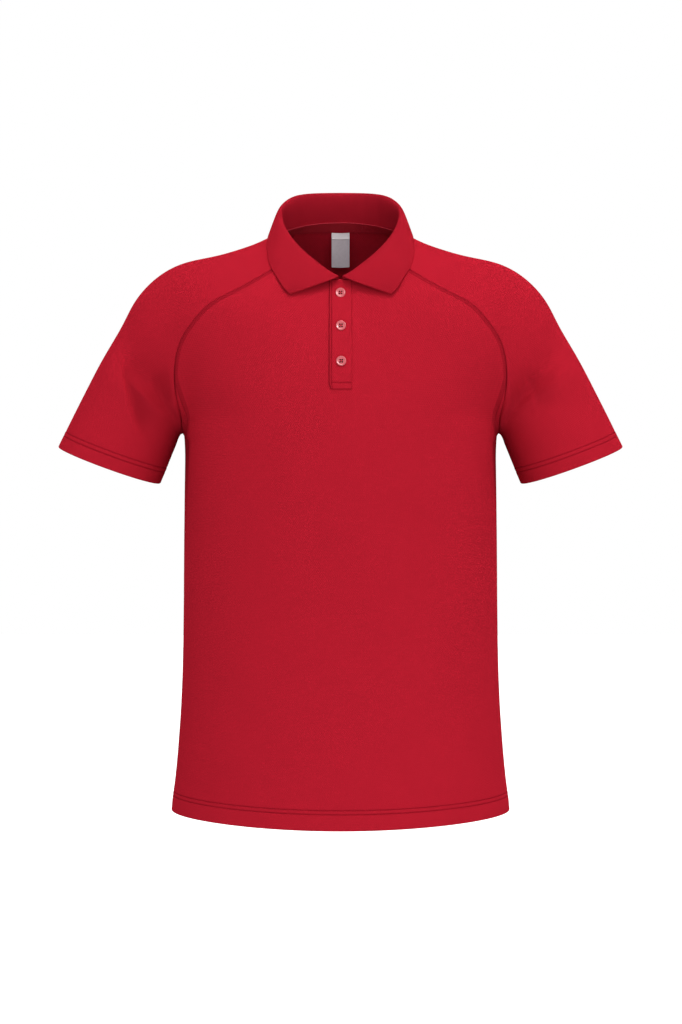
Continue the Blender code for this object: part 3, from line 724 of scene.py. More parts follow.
def tube_faces(rings, sides, start=0):
    """The faces of a closed tube, whose points follow each other ring by ring from a first index."""
    faces = []
    last = start + (rings - 1) * sides
    for low in range(start, last, sides):
        for side in range(sides):
            after = (side + 1) % sides
            faces.append((low + side, low + after, low + sides + after, low + sides + side))
    return faces + [tuple(range(start + sides - 1, start - 1, -1)), tuple(range(last, last + sides))]


def stitches(lines, pitch=STITCH_PITCH, length=STITCH_LENGTH, radius=THREAD):
    """Points and faces of the stitches on some lines. A line is its points and their normals."""
    points, faces = [], []
    angles = np.arange(STITCH_SIDES)[:, None] * 2 * math.pi / STITCH_SIDES
    for line, normals in lines:
        run = lengths(line)
        count = int((run[-1] - length) / pitch) + 1
        first = (run[-1] - (count - 1) * pitch - length) / 2  # so that both ends are left alike
        for number in range(count):
            faces += tube_faces(len(STITCH_RINGS), STITCH_SIDES, len(points) * STITCH_SIDES)
            for share, thick, lift in STITCH_RINGS:
                where = first + number * pitch + share * length
                up = unit(sample(where, run, normals))
                ahead, behind = sample([where + ROW_STEP, where - ROW_STEP], run, line)
                beside = unit(np.cross(up, ahead - behind))
                ring = beside * np.cos(angles) * STITCH_SPREAD + up * np.sin(angles)
                points.append(sample(where, run, line) + up * lift * radius + ring * radius * thick)
    return np.concatenate(points), faces


def add_stitches(name, lines, material, slot, **sizes):
    """The stitches on some lines as one piece."""
    dress(add_object(name, *stitches(lines, **sizes), material, sharp=None))


# ----------------------------------------
# Materials


def add_node(tree, kind, inputs=None, **settings):
    """A node with its settings, and its inputs set to values or linked to sockets."""
    node = tree.nodes.new(kind)
    for name, value in settings.items():
        setattr(node, name, value)
    for name, value in (inputs or {}).items():
        if isinstance(value, bpy.types.NodeSocket):
            tree.links.new(value, node.inputs[name])
        else:
            node.inputs[name].default_value = value
    return node


def calculate(tree, operation, first, second=0.0, third=0.0):
    values = {0: first, 1: second, 2: third}
    return add_node(tree, "ShaderNodeMath", values, operation=operation).outputs[0]


def total(tree, start, *terms):
    """A start value and every term added to it. A term is a socket and its factor."""
    for value, factor in terms:
        start = calculate(tree, "MULTIPLY_ADD", value, factor, start)
    return start


def blank(name, **values):
    """A material, its tree and its shader, some of whose values are set by name, with _ for a space."""
    material = bpy.data.materials.new(name)
    material.use_nodes = True
    shader = material.node_tree.nodes["Principled BSDF"]
    for key, value in values.items():
        shader.inputs[key.replace("_", " ")].default_value = value
    return material, material.node_tree, shader


def mixed(tree, factor, first, second):
    """A colour between two, each a tuple or a socket."""
    node = add_node(tree, "ShaderNodeMix", data_type="RGBA")
    for index, value in ((0, factor), (6, first), (7, second)):
        if isinstance(value, bpy.types.NodeSocket):
            tree.links.new(value, node.inputs[index])
        else:
            node.inputs[index].default_value = value
    return node.outputs[2]


def smooth_step(tree, value, low, high):
    """0 under the low value, 1 over the high one and a smooth rise between them."""
    inputs = {"Value": value, "From Min": low, "From Max": high}
    return add_node(tree, "ShaderNodeMapRange", inputs, interpolation_type="SMOOTHSTEP").outputs["Result"]


def noise(tree, vector, scale, detail, **settings):
    inputs = {"Vector": vector, "Scale": scale, "Detail": detail, **settings}
    return add_node(tree, "ShaderNodeTexNoise", inputs).outputs["Fac"]


def wave(tree, value, period):
    """A sine of a value, over a period."""
    return calculate(tree, "SINE", calculate(tree, "MULTIPLY", value, 2 * math.pi / period))


def stored(tree, word, output="Fac"):
    """A value that the mesh keeps at its points."""
    return add_node(tree, "ShaderNodeAttribute", attribute_name=word).outputs[output]


def cloth_place(tree):
    """The place on the flat cloth, and its distances across and up."""
    grain = stored(tree, "grain", "Vector")
    split = add_node(tree, "ShaderNodeSeparateXYZ", {"Vector": grain})
    return grain, split.outputs["X"], split.outputs["Y"]


def finish(tree, shader, colour, relief=None, strength=0.8, depth=0.0):
    """Links the colour, and the relief as a bump this deep."""
    tree.links.new(colour, shader.inputs["Base Color"])
    if relief is not None:
        bump = add_node(tree, "ShaderNodeBump", {"Height": relief, "Strength": strength, "Distance": depth})
        tree.links.new(bump.outputs["Normal"], shader.inputs["Normal"])


def scaled(colour, share):
    """The colour with its three parts at a share."""
    return tuple(value * share for value in colour[:3]) + (1.0,)


def cloth_base(name, roughness, sheen, specular):
    """A matt, slightly sheened cloth with its place on the flat cloth."""
    material, tree, shader = blank(
        name,
        Roughness=roughness,
        Specular_IOR_Level=specular,
        Sheen_Weight=sheen,
        Sheen_Roughness=0.5,
        Sheen_Tint=(1.0, 0.10, 0.14, 1.0),
    )
    return material, tree, shader, *cloth_place(tree)


def finish_cloth(tree, shader, tone, relief, painted_shade, light, dark, depth):
    """Links a tone between dark and light, the painted shade of seams, stitch rows and creases over it, and
    the relief's bump.
    """
    tone = add_node(tree, "ShaderNodeClamp", {"Value": tone}).outputs[0]
    colour = mixed(tree, painted_shade, mixed(tree, tone, dark, light), scaled(dark, SHADE_DARK))
    finish(tree, shader, colour, relief, depth=depth)


def knit_loops(tree, across, up, wale, course):
    """The height of columns of V-shaped loops, with a groove between two columns."""
    place = calculate(tree, "FRACT", calculate(tree, "MULTIPLY", across, 1 / wale))
    off_middle = calculate(tree, "ABSOLUTE", calculate(tree, "SUBTRACT", place, 0.5))
    border = calculate(tree, "MULTIPLY", off_middle, 2.0)
    row = total(tree, 0.0, (border, 0.6), (up, 1 / course))
    return total(tree, 0.0, (wave(tree, row, 1.0), 0.5), (calculate(tree, "POWER", border, 3.0), -0.9))


SHADE_DARK = 0.22  # share of the dark colour that is left where the painted shade is deepest
BIRDSEYE = (0.0025, 0.0037)  # width and height of one repeat, which has two dimples
JERSEY_LOOP = (0.00083, 0.00062)
RIB_LOOP = (0.0013, 0.0009)
KNIT_DEPTH = 0.00026
TAPE_DEPTH = 0.00016


def drawn_seam(tree):
    """The painted shade of the seam that shows in front of the armpit, and the painted shadow on the strip
    beyond it.
    """
    line = stored(tree, "line")
    off_line = calculate(tree, "ABSOLUTE", calculate(tree, "SUBTRACT", line, 1.0))
    close = smooth_step(tree, off_line, 0.10, 0.02)
    outside = smooth_step(tree, line, 0.97, 1.03)
    band = calculate(tree, "SUBTRACT", smooth_step(tree, line, 0.42, 0.52), outside)
    beside = total(tree, 0.0, (close, 0.22), (band, 0.24))
    return total(tree, 0.0, (beside, stored(tree, "line_shade")), (outside, stored(tree, "strip_shadow")))


def jersey_material(name, light, dark):
    """Birdseye pique: staggered rows of small dimples on a face of fine knitted loops."""
    material, tree, shader, grain, across, up = cloth_base(name, 0.85, 0.01, 0.0)
    checks = calculate(tree, "MULTIPLY", wave(tree, across, BIRDSEYE[0]), wave(tree, up, BIRDSEYE[1]))
    dimple = smooth_step(tree, checks, 0.18, 0.80)
    loops = knit_loops(tree, across, up, *JERSEY_LOOP)
    fibre = noise(tree, grain, 2600.0, 2.0)
    uneven = noise(tree, grain, 16.0, 3.0)
    relief = total(tree, 0.0, (loops, 0.42), (dimple, -1.0), (fibre, 0.35))
    # Darker in the dimples, lighter on the loops: painted shade of the knit's relief, with an uneven tone
    # over it.
    tone = total(tree, 0.60, (dimple, -0.62), (loops, 0.20), (uneven, 0.24))
    painted_shade = calculate(tree, "MAXIMUM", stored(tree, "painted_shade"), drawn_seam(tree))
    finish_cloth(tree, shader, tone, relief, painted_shade, light, dark, KNIT_DEPTH)
    return material


def rib_material(name, light, dark):
    """Flat-knit rib: narrow rounded wales across the collar, each a column of loops."""
    material, tree, shader, grain, across, up = cloth_base(name, 0.85, 0.01, 0.0)
    wales = wave(tree, across, RIB_LOOP[0])
    loops = knit_loops(tree, across, up, *RIB_LOOP)
    fibre = noise(tree, grain, 2400.0, 2.0)
    uneven = noise(tree, grain, 20.0, 3.0)
    relief = total(tree, 0.0, (loops, 0.45), (wales, 0.55), (fibre, 0.35))
    # Lighter on the wales and the loops: painted shade of the rib's relief, with an uneven tone over it.
    tone = total(tree, 0.46, (wales, 0.16), (loops, 0.16), (uneven, 0.22))
    finish_cloth(tree, shader, tone, relief, stored(tree, "painted_shade"), light, dark, KNIT_DEPTH)
    return material


def tape_material(name, light, dark):
    """Herringbone tape: twill lines that turn over every few millimetres."""
    material, tree, shader, grain, across, up = cloth_base(name, 0.75, 0.02, 0.06)
    slope = calculate(tree, "ADD", calculate(tree, "PINGPONG", across, 0.0030), up)
    twill = wave(tree, slope, 0.0011)
    relief = total(tree, twill, (noise(tree, grain, 2600.0, 2.0), 0.4))
    # Lighter along the twill's ridges, darker between them: painted shade of its relief.
    tone = total(tree, 0.5, (twill, 0.25))
    finish_cloth(tree, shader, tone, relief, stored(tree, "painted_shade"), light, dark, TAPE_DEPTH)
    return material


def thread_material(name, colour):
    """Twisted polyester sewing thread."""
    material, tree, shader = blank(name, Roughness=0.60, Specular_IOR_Level=0.0)
    twist = noise(tree, add_node(tree, "ShaderNodeNewGeometry").outputs["Position"], 3800.0, 1.0)
    # Darker where the twist's relief is low: painted shade of the twist.
    finish(tree, shader, mixed(tree, twist, scaled(colour, 0.65), colour), twist, 0.4, 0.00008)
    return material


def satin_material(name, light, dark):
    """Woven satin tape: fine shining floats across the label and a few pulled threads."""
    material, tree, shader = blank(name, Roughness=0.42, Sheen_Weight=0.25, Anisotropic=0.4)
    grain, across, up = cloth_place(tree)
    weave = total(tree, wave(tree, up, 0.00042), (wave(tree, across, 0.0009), 0.4))
    slub = noise(tree, grain, 260.0, 2.0)
    finish(tree, shader, mixed(tree, slub, dark, light), weave, 0.35, 0.00006)
    return material


def resin_material(name, light, dark):
    """Tinted polyester resin with faint pearly swirls."""
    values = {"Specular_IOR_Level": 0.35, "Coat_Weight": 0.45, "Coat_Roughness": 0.07}
    material, tree, shader = blank(name, Roughness=0.34, **values)
    place = add_node(tree, "ShaderNodeNewGeometry").outputs["Position"]
    finish(tree, shader, mixed(tree, noise(tree, place, 340.0, 3.0, Distortion=1.4), dark, light))
    return material


RED_LIGHT = (0.580, 0.0156, 0.0340, 1.0)
RED_DARK = (0.410, 0.0106, 0.0235, 1.0)
RIB_LIGHT = (0.500, 0.0135, 0.0293, 1.0)
RIB_DARK = (0.365, 0.0096, 0.0210, 1.0)
jersey = jersey_material("jersey", RED_LIGHT, RED_DARK)
rib_cloth = rib_material("rib", RIB_LIGHT, RIB_DARK)
tape_cloth = tape_material("tape", RIB_LIGHT, RIB_DARK)
thread = thread_material("thread", (0.400, 0.0060, 0.0190, 1.0))
satin = satin_material("label satin", (0.54, 0.485, 0.525, 1.0), (0.43, 0.385, 0.420, 1.0))
# A near-white copy of the label's satin for the strip over its top: painted light.
painted_light_satin = satin_material("label tab satin painted light", (0.97, 0.94, 0.96, 1.0), (0.86, 0.82, 0.84, 1.0))
resin = resin_material("button resin", (0.70, 0.125, 0.145, 1.0), (0.60, 0.092, 0.110, 1.0))
# A near-black copy of the resin for the walls of the holes: painted shade inside them.
hole_shade_resin = resin_material("button resin painted with the holes' shade", (0.16, 0.012, 0.016, 1.0), (0.10, 0.008, 0.011, 1.0))


# ----------------------------------------
# Body

LENGTH_BELOW = UNDERARM - HEM_FRONT
NEAR_UNDERARM = 0.08  # how far above the underarm's place the rows lie closer together
BODY_COLUMNS = 84  # columns between the slit and a side seam's own
SLEEVE_COLUMNS = 70
BODY_RELAX = (0.04, 0.05, 24)  # distance from the hem that is left as it was, its blend, rounds
SLEEVE_RELAX = (0.035, 0.03, 10)
ARM_SHADE_TOP = 0.35  # how far above the underarm's place the sleeve's painted shade reaches


def hem_steps(stitch_rows):
    """Distances from a hem, close together at its edge and at its stitch rows."""
    steps = [step * MM for step in FREE_EDGE_STEPS] + [0.002, 0.005, 0.009, 0.013]
    for row in stitch_rows:
        steps += [row + offset * MM for offset in (-1.5, -0.9, -0.45, 0, 0.45, 0.9, 1.5)]
    steps += [stitch_rows[1] + 0.003, stitch_rows[1] + 0.006]
    return sorted(set(round(step, 6) for step in steps))


def upper_places():
    """Places of the rows above the underarm, the same for the body and the sleeves."""
    near = np.linspace(0.0, NEAR_UNDERARM, 14)
    return 1 + np.concatenate([near[1:], np.linspace(NEAR_UNDERARM, 1.0, 80)[1:]])


def body_places():
    """Places of all the rows of the front and of the back."""
    low = [step / LENGTH_BELOW for step in hem_steps(HEM_ROWS)]
    return np.concatenate([low, np.linspace(low[-1], 1.0, 66)[1:], upper_places()])


def seam_distance(points, from_seam):
    """The distance from the two seams at the grid's sides, where that is less than the one along a row."""
    for column in (0, -1):
        from_seam = np.minimum(from_seam, distance_to_edge(points, points[:, column]))
    return from_seam


def body_grid(side):
    """The grid of a body panel: points, grain, distance from the seams, from the hem, and places."""
    places = body_places()
    halves = [body_row(place, side, trim=SEAM_TRIM) for place in places]
    slant = slants([half[::-1] for half in halves], np.array([half[-1] for half in halves]))
    points, across, from_seam = [], [], []
    for half, stretch in zip(halves, slant):
        full = lengths(half)[-1]
        edge = np.array(EDGE_STEPS[::-1]) * MM * stretch
        inner = np.linspace(SLIT_WIDTH / 2, full - edge[0], BODY_COLUMNS)
        spots = np.concatenate([[0.0], inner, full - edge[1:]])
        half = at_distance(half, spots)
        points.append(np.concatenate([mirror(half[:0:-1]), half]))
        across.append(np.concatenate([-spots[:0:-1], spots]))
        from_seam.append(full - abs(across[-1]))
    points, across, from_seam = np.array(points), np.array(across), np.array(from_seam)
    from_hem = np.minimum(places[:, None] * LENGTH_BELOW, 1.0) + np.zeros_like(across)
    points = relaxed(points, from_seam, from_hem, places, *BODY_RELAX)
    from_seam = seam_distance(points, from_seam)
    points = out_of_armpit(points, places, from_seam, side)
    grain = grain_at(across, lengths(points[:, points.shape[1] // 2])[:, None])
    if side < 0:
        points, grain, from_seam = points[:, ::-1], grain[:, ::-1], from_seam[:, ::-1]
    return points, grain, from_seam, from_hem, places


def hem_heights(from_hem, stitch_rows, run, seed):
    """Heights of a hem: a rounded lower edge, two stitch rows and a slight swell between them."""
    heights = sum(trough(from_hem, row) for row in stitch_rows)
    heights = heights - CLOTH * (1 - rounded(from_hem, EDGE_ROUND))
    heights = heights + HEM_SWELL * ease((stitch_rows[1] + 0.001 - from_hem) / 0.002)
    near = bell(from_hem - sum(stitch_rows) / 2, 0.007)
    return heights + HEM_PUCKER * waves(run, lengths_mm=(7.3, 11.9, 17.1), seed=seed) * near


def beside_seams(plain, raglan, from_seam, places):
    """What a table gives beside the seams: the plain one below the underarm, the raglan's above it."""
    upper = ease((places - SEAM_CHANGE[0]) / SEAM_CHANGE[1])[:, None]
    return profile(plain, from_seam) * (1 - upper) + profile(raglan, from_seam) * upper


def over(first, second):
    """Two depths of painted shade, one drawn over the other."""
    return 1 - (1 - first) * (1 - second)


def row_shade(distance, row):
    """The painted shade drawn on the cloth along a stitch row."""
    return ROW_SHADE * bell(distance - row, STITCH_WIDTH)


BODY_SEWING = (BODY_SEAM, RAGLAN_SHADE, HEM_ROWS, HEM_DEPTH)
SLEEVE_SEWING = (SLEEVE_SEAM, SLEEVE_SHADE, CUFF_ROWS, CUFF_DEPTH)


def sew_panel(node, grid, sewing, seed, shade=0.0, stitched_from=None, open_cells=None, fields=None):
    """A panel with its folds, seams and hem pressed into it, and its stitch rows as another piece.

    Shade is a painted shade of its own, and the raglan seams are stitched from a place upwards.
    """
    points, grain, from_seam, from_hem, places = grid
    seam, tone, stitch_rows, hem_depth = sewing
    normals = normals_of(points)
    strength = seam_strength(points, places)
    dips = creases(points, normals, from_seam)
    pucker = SEAM_PUCKER * waves(grain[..., 1], lengths_mm=(8.1, 12.7, 19.3), seed=seed)
    heights = beside_seams(PLAIN_SEAM, seam, from_seam, places) + pucker * bell(from_seam, 0.009)
    heights = heights * strength
    heights = heights + hem_heights(from_hem, stitch_rows, grain[..., 0], seed + 0.5)
    heights = heights - folds(points, normals, from_seam) - dips
    heights = armpit(points, heights, from_seam, places)
    # Painted shade beside the seams, under the arm, in the creases and along the stitch rows.
    painted_shade = beside_seams(PLAIN_SHADE, tone, from_seam, places) / MM * strength
    painted_shade = over(painted_shade, shade)
    painted_shade = over(painted_shade, CREASE_SHADE * dips / CREASE_DEEP)
    for row in stitch_rows:
        painted_shade = over(painted_shade, row_shade(from_hem, row))
    allowance = ease((ALLOWANCE_WIDTH - from_seam) / (1.5 * MM)) * ALLOWANCE
    turned_up = ease((hem_depth - from_hem) / (0.6 * MM)) * CLOTH
    thickness = CLOTH + np.maximum(allowance, turned_up)
    thickness = thickness * (0.25 + 0.75 * rounded(from_hem, EDGE_ROUND))
    obj, outer, normals = wall(
        node + "_cloth", points, heights, thickness, grain, painted_shade, jersey, open_cells, fields
    )
    dress(obj, node)
    hem_rows = [hem_steps(stitch_rows).index(round(row, 6)) for row in stitch_rows]
    rows = [(outer[row], normals[row]) for row in hem_rows]
    if stitched_from:
        first = np.searchsorted(places, stitched_from) + 1
        column = EDGE_STEPS.index(RAGLAN_ROW)
        rows += [(outer[first:, c], normals[first:, c]) for c in (column, -1 - column)]
    add_stitches(node + "_stitches", rows, thread, "jersey")
    return obj


def make_front():
    """The front, with its slit and with the seam drawn in painted shade in front of the armpit."""
    grid = body_grid(1)
    points, places = grid[0], grid[-1]
    open_cells = np.zeros((points.shape[0] - 1, points.shape[1] - 1), bool)
    middle = points.shape[1] // 2
    open_cells[np.searchsorted(places, place_of(SLIT_END)) :, middle - 1 : middle + 1] = True
    fields = {"line": (1 + forward_line(points) / LINE_UNIT).clip(0, 5)}
    edge_z = np.maximum(points[:, :1, 2], points[:, -1:, 2])
    for name, table in (("line_shade", LINE_SHADE), ("strip_shadow", STRIP_SHADOW)):
        fields[name] = np.interp(edge_z, *zip(*table)) + np.zeros(points.shape[:2])
    return sew_panel("front_body", grid, BODY_SEWING, 1, 0.0, FRONT_STITCHED_FROM, open_cells, fields)


front_cloth = make_front()
back_cloth = sew_panel("back_body", body_grid(-1), BODY_SEWING, 2, stitched_from=1.0)

# ----------------------------------------
# Sleeves


def sleeve_sections(places):
    """The sleeve's rows at some places, with the distance of each point from the shoulder line and seams."""
    rings = []
    for side in (1, -1):
        halves = [sleeve_half(place, side) for place in places]
        slant = slants(halves, np.array([half[0] for half in halves]))
        spots, rests = [], []
        for number, (half, stretch) in enumerate(zip(halves, slant)):
            full = lengths(half)[-1]
            edge = np.array(EDGE_STEPS) * MM * stretch
            edge[0] = 0.0 if places[number] > 1 else SEAM_TRIM
            spot = np.concatenate([edge, np.linspace(edge[-1], full, SLEEVE_COLUMNS)[1:]])
            halves[number] = at_distance(half, spot)
            spots.append(spot)
            rests.append(full - spot)
        rings.append((np.array(halves), np.array(spots), np.array(rests)))
    (front, front_spots, front_rests), (back, back_spots, back_rests) = rings
    points = np.concatenate([front, back[:, -2::-1]], axis=1)
    from_seam = np.concatenate([front_spots, back_spots[:, -2::-1]], axis=1)
    across = np.concatenate([-front_rests, back_rests[:, -2::-1]], axis=1)
    return points, across, from_seam


def even_hem(values, runs, wanted):
    """Values of dense rows, one column at a time, at the wanted distances up from the cuff."""
    columns = []
    for column in range(values.shape[1]):
        part = values[:, column].reshape(len(runs), -1)
        columns.append(sample(wanted[:, column], runs[:, column], part))
    return np.stack(columns, axis=1).reshape((len(wanted),) + values.shape[1:])


def sleeve_grid():
    """The grid of a sleeve: points, grain, distance from its seams and cuff, and places."""
    dense = np.linspace(0.0, 1.0, 33)
    upper = upper_places()
    values = sleeve_sections(np.concatenate([dense, upper]))
    count = len(dense)
    steps = np.linalg.norm(np.diff(values[0][:count], axis=0), axis=2)
    runs = np.concatenate([np.zeros((1, steps.shape[1])), np.cumsum(steps, axis=0)])
    near = np.array(hem_steps(CUFF_ROWS))[:, None]
    share = np.linspace(0.0, 1.0, 15)[1:, None]
    wanted = np.concatenate([near + np.zeros_like(runs[:1]), near[-1] + share * (runs[-1] - near[-1])])
    points, across, from_seam = (
        np.concatenate([even_hem(value[:count], runs, wanted), value[count:]]) for value in values
    )
    low_places = even_hem(dense[:, None] + np.zeros_like(runs), runs, wanted)
    places = np.concatenate([low_places.mean(axis=1), upper])
    from_hem = np.concatenate([wanted, np.full((len(upper), points.shape[1]), 1.0)])
    points = relaxed(points, from_seam, from_hem, places, *SLEEVE_RELAX)
    from_seam = seam_distance(points, from_seam)
    middle = points.shape[1] // 2
    for part, side in ((slice(None, middle), 1), (slice(middle, None), -1)):
        points[:, part] = out_of_armpit(points[:, part], places, from_seam[:, part], side)
    return points, grain_at(across, lengths(points[:, middle])[:, None]), from_seam, from_hem, places


def make_sleeve(node, flip, seed):
    """A sleeve with painted shade along its underarm. The wearer's right one is flipped."""
    grid = sleeve_grid()
    if flip:
        points, *values, places = grid
        grid = (mirror(points[:, ::-1]), *(value[:, ::-1] for value in values), places)
    low = 1 - ease((grid[-1] - 1.0) / ARM_SHADE_TOP)[:, None]
    shade = ARM_SHADE * low * bell(grid[2], ARM_SHADE_REACH)
    return sew_panel(node, grid, SLEEVE_SEWING, seed, shade)


left_cloth = make_sleeve("sleeve_left", False, 3)
right_cloth = make_sleeve("sleeve_right", True, 4)

# ----------------------------------------
# Collar


STAND_COUNT = 12  # steps of a section up the stand
FALL_COUNT = 20  # and down the fall
CURVED_SHARE = 0.3  # share of the neckline over which the fold becomes fully round


def collar_section(share, spots_from_edge):
    """The collar's middle surface at a place on the neckline, and its distances from both edges."""
    table = np.array(COLLAR_STATIONS)
    station = spline(table[:, 0], table[:, 1:], share)[0]
    fold = station[:3]
    edge = station[3:]
    point, inward = neckline(share)
    foot = point + inward * HIDDEN_SEAM
    rise = fold - foot
    fall = edge - fold
    top = unit(unit(rise) - unit(fall))
    out = square(fall, top)
    stand_length = np.linalg.norm(rise)
    fall_length = np.linalg.norm(fall)
    curved = ease(share / CURVED_SHARE)
    stand_handle = math.sqrt(2 / 3 * STAND_BEND * 0.65 * stand_length)
    fall_handle = math.sqrt(2 / 3 * FALL_BEND * 0.60 * fall_length) * (0.4 + 0.6 * curved)
    stand = bezier(foot, foot + rise * 0.35, fold - out * stand_handle, fold)
    down = unit(unit(fall) + np.array([0.0, 0.0, -0.25]) * curved)
    leaf = bezier(fold, fold + out * fall_handle, edge - down * fall_length * 0.40, edge)
    stand_steps = (1 - np.linspace(1, 0, STAND_COUNT + 1) ** 1.6) * lengths(stand)[-1]
    full = lengths(leaf)[-1]
    body = (np.linspace(0, 1, FALL_COUNT + 1)[1:] ** 1.4) * (full - spots_from_edge[0])
    leaf_spots = np.concatenate([body, full - spots_from_edge[1:]])
    section = np.concatenate([at_distance(stand, stand_steps), at_distance(leaf, leaf_spots)])
    run = lengths(section)
    return section, run, run[-1] - run


STAND_SHADE = 0.30  # how much deeper the painted shade is at the stand's foot than at the fold
FRONT_DROP_REACH = 0.050
FRONT_DROP = (  # share of the collar's front end from the stand's foot to the tip, drop in metres
    (0.00, 0.0000), (0.06, 0.0004), (0.12, 0.0014), (0.20, 0.0026),
    (0.40, 0.0030), (0.70, 0.0024), (1.00, 0.0014),
)


def make_collar():
    """The collar's stand and fall, rounded at all of its edges."""
    half_length = lengths(neck_loop(2.0))[-1]
    near_front = COLLAR_GAP + np.array([0, 0.1, 0.3, 0.6, 1.0, 1.7, 3.0, 5.0]) * MM
    spots = np.concatenate([near_front, np.linspace(near_front[-1], half_length, 60)[1:]])
    edge_spots = np.array([3.0, 1.9, 1.2, 0.8, 0.5, 0.25, 0.1, 0.0]) * MM
    sections = []
    for share in spots / half_length:
        section, run, rest = collar_section(share, edge_spots)
        near = ease(1 - (share * half_length - COLLAR_GAP) / FRONT_DROP_REACH)
        section[:, 2] -= near * read(FRONT_DROP, run / run[-1])
        sections.append((section, run, rest))
    half, down, from_edge = (np.array(values) for values in zip(*sections))
    grid = np.concatenate([half, mirror(half[-2::-1])])
    down, from_edge = (np.concatenate([values, values[-2::-1]]) for values in (down, from_edge))
    round_neck = np.concatenate([spots - half_length, (half_length - spots)[-2::-1]])
    from_front = [np.linalg.norm(grid - end, axis=2) for end in (grid[:1], grid[-1:])]
    thickness = RIB * rounded(np.minimum.reduce([from_edge, *from_front]), 1.0 * MM)
    # Painted shade, deeper from the fold down to the stand's foot.
    painted_shade = STAND_SHADE * np.sqrt((1 - down / down[:, STAND_COUNT][:, None]).clip(0, 1))
    grain = grain_at(round_neck[:, None], down)
    obj = wall("collar_rib", grid, thickness / 2, thickness, grain, painted_shade, rib_cloth)[0]
    return dress(obj, "collar")


collar_rib = make_collar()

# ----------------------------------------
# Tape and label


def below_neckline(share, distances):
    """Points on the cloth under a place of the neckline, at distances down from its edge."""
    rows = [neck_loop(place) for place in np.linspace(2.0, 1.75, 11)]
    run = shares(rows[0])
    line = np.array([sample(share, run, row) for row in rows])
    above = 0.004
    line = np.concatenate([[line[0] + unit(line[0] - line[1]) * above], line])
    return sample(distances, lengths(line) - above, line)


TAPE_STEPS = (-3.4, -3.2, -2.8, -2.2, -1.0, 1.0, 3.5, 6.5, 8.5, 9.7, 10.3, 10.9, 11.4, 11.7, 11.8)
TAPE_ROWS = (-2.8, 10.3)  # mm down from the neckline to the stitch rows, as the steps are
TAPE_MIDDLE = 6  # the step whose points give the grain's run along the tape
INSIDE = CLOTH + TAPE_CLEARANCE
LABEL_THICK = 0.45 * MM


def make_tape():
    """The tape inside the back of the neck, and its two rows of stitches as pieces of their own."""
    distances = np.array(TAPE_STEPS) * MM
    half = np.array([below_neckline(share, distances) for share in np.linspace(TAPE_SHARE, 1, 70)])
    grid = np.concatenate([half, mirror(half[-2::-1])])
    down = np.tile(distances, (len(grid), 1))
    thickness = TAPE * rounded(np.minimum(down - distances[0], distances[-1] - down), 0.5 * MM)
    press = sum(trough(down, row * MM, 0.12 * MM, 0.4 * MM) for row in TAPE_ROWS)
    heights = -INSIDE - (TAPE - thickness) / 2 - press
    grain = grain_at(lengths(grid[:, TAPE_MIDDLE])[:, None], down)
    none = np.zeros_like(down)
    obj, outer, normals = wall("neck_tape_cloth", grid, heights, thickness, grain, none, tape_cloth)
    dress(obj, "neck_tape")
    inner = grid + normals * (heights - thickness)[..., None]
    sewing = (("upper", tape_thread, 0.34), ("lower", thread, 0.21))
    for row, (name, strand, thick) in zip(TAPE_ROWS, sewing):
        column = TAPE_STEPS.index(row)
        line = (inner[:, column], -normals[:, column])
        sizes = {"pitch": 2.4 * MM, "length": 2.3 * MM, "radius": thick * MM}
        add_stitches(f"neck_tape_{name}_stitches", [line], strand, "tape", **sizes)
    return obj


def strip_steps(width, steps, margin, count):
    """Distances across a strip from one edge to the other, close together at both."""
    return np.concatenate([steps, np.linspace(margin, width - margin, count), (width - steps)[::-1]])


def make_label(name, top_drop, length, forward, material, rows=27):
    """A strip of satin that hangs under the tape, with soft edges and a slight bow."""
    top = below_neckline(1.0, [TAPE_WIDTH + LABEL_DROP])[0]
    hang = unit(np.array([0.0, LABEL_LEAN, -1.0]))
    steps = np.array([0, 0.15, 0.4, 0.9]) * MM
    half = LABEL_WIDTH / 2
    corner = 1.5 * MM
    depth = strip_steps(length, steps, 0.002, rows)
    across = strip_steps(LABEL_WIDTH, steps, 0.002, 13) - half
    bow = LABEL_BOW * (across / half) ** 2
    grid = np.zeros((len(depth), len(across), 3))
    for number, reach in enumerate(depth):
        centre = top + hang * (top_drop + reach)
        near_end = max(0.0, corner - min(reach, length - reach)) / corner
        narrow = 1 - 0.9 * MM / half * (1 - math.sqrt(1 - near_end**2))
        grid[number] = np.column_stack([across * narrow, centre[1] - bow, np.full(len(across), centre[2])])
    edge = np.minimum(np.minimum(depth, length - depth)[:, None], half - abs(across))
    thickness = LABEL_THICK * rounded(edge, 0.4 * MM)
    heights = -(INSIDE + forward) - (LABEL_THICK - thickness) / 2
    grain = grain_at(across, depth[:, None])
    return wall(name, grid, heights, thickness, grain, np.zeros_like(thickness), material)[0]


tape_thread = thread_material("tape thread", (0.88, 0.060, 0.100, 1.0))
tape_piece = make_tape()
label = make_label("neck_label_satin", -0.0007, LABEL_LENGTH - 0.0016, 0.0, satin)
dress(label, "neck_label")
# A lighter strip over the top of the label: painted light where light falls on its top.
painted_light_strip = make_label("neck_label_painted_light", -0.0013, 0.0092, 0.50 * MM, painted_light_satin, rows=7)
dress(painted_light_strip)

# ----------------------------------------
# Plackets and buttons


CORNER_CUT = 2.2 * MM  # how far the free edge runs in at the placket's lower corner
CORNER_RISE = 9.0 * MM
SIDE_ROW = 2.9  # mm from the free edge to the stitch row beside it
END_ROW = 8.3  # mm from the lower end to the stitch row across it
EDGE_SPOTS = (0, 0.1, 0.3, 0.6, 1.0, 1.7, 2.3, SIDE_ROW, 3.5, 4.2)
END_SPOTS = (0, 0.1, 0.3, 0.6, 1.0, 2.0, 4.0, 6.0, 7.3, 7.8, END_ROW, 8.8, 9.3, 11.0)
TOP_PLACE = 1.997


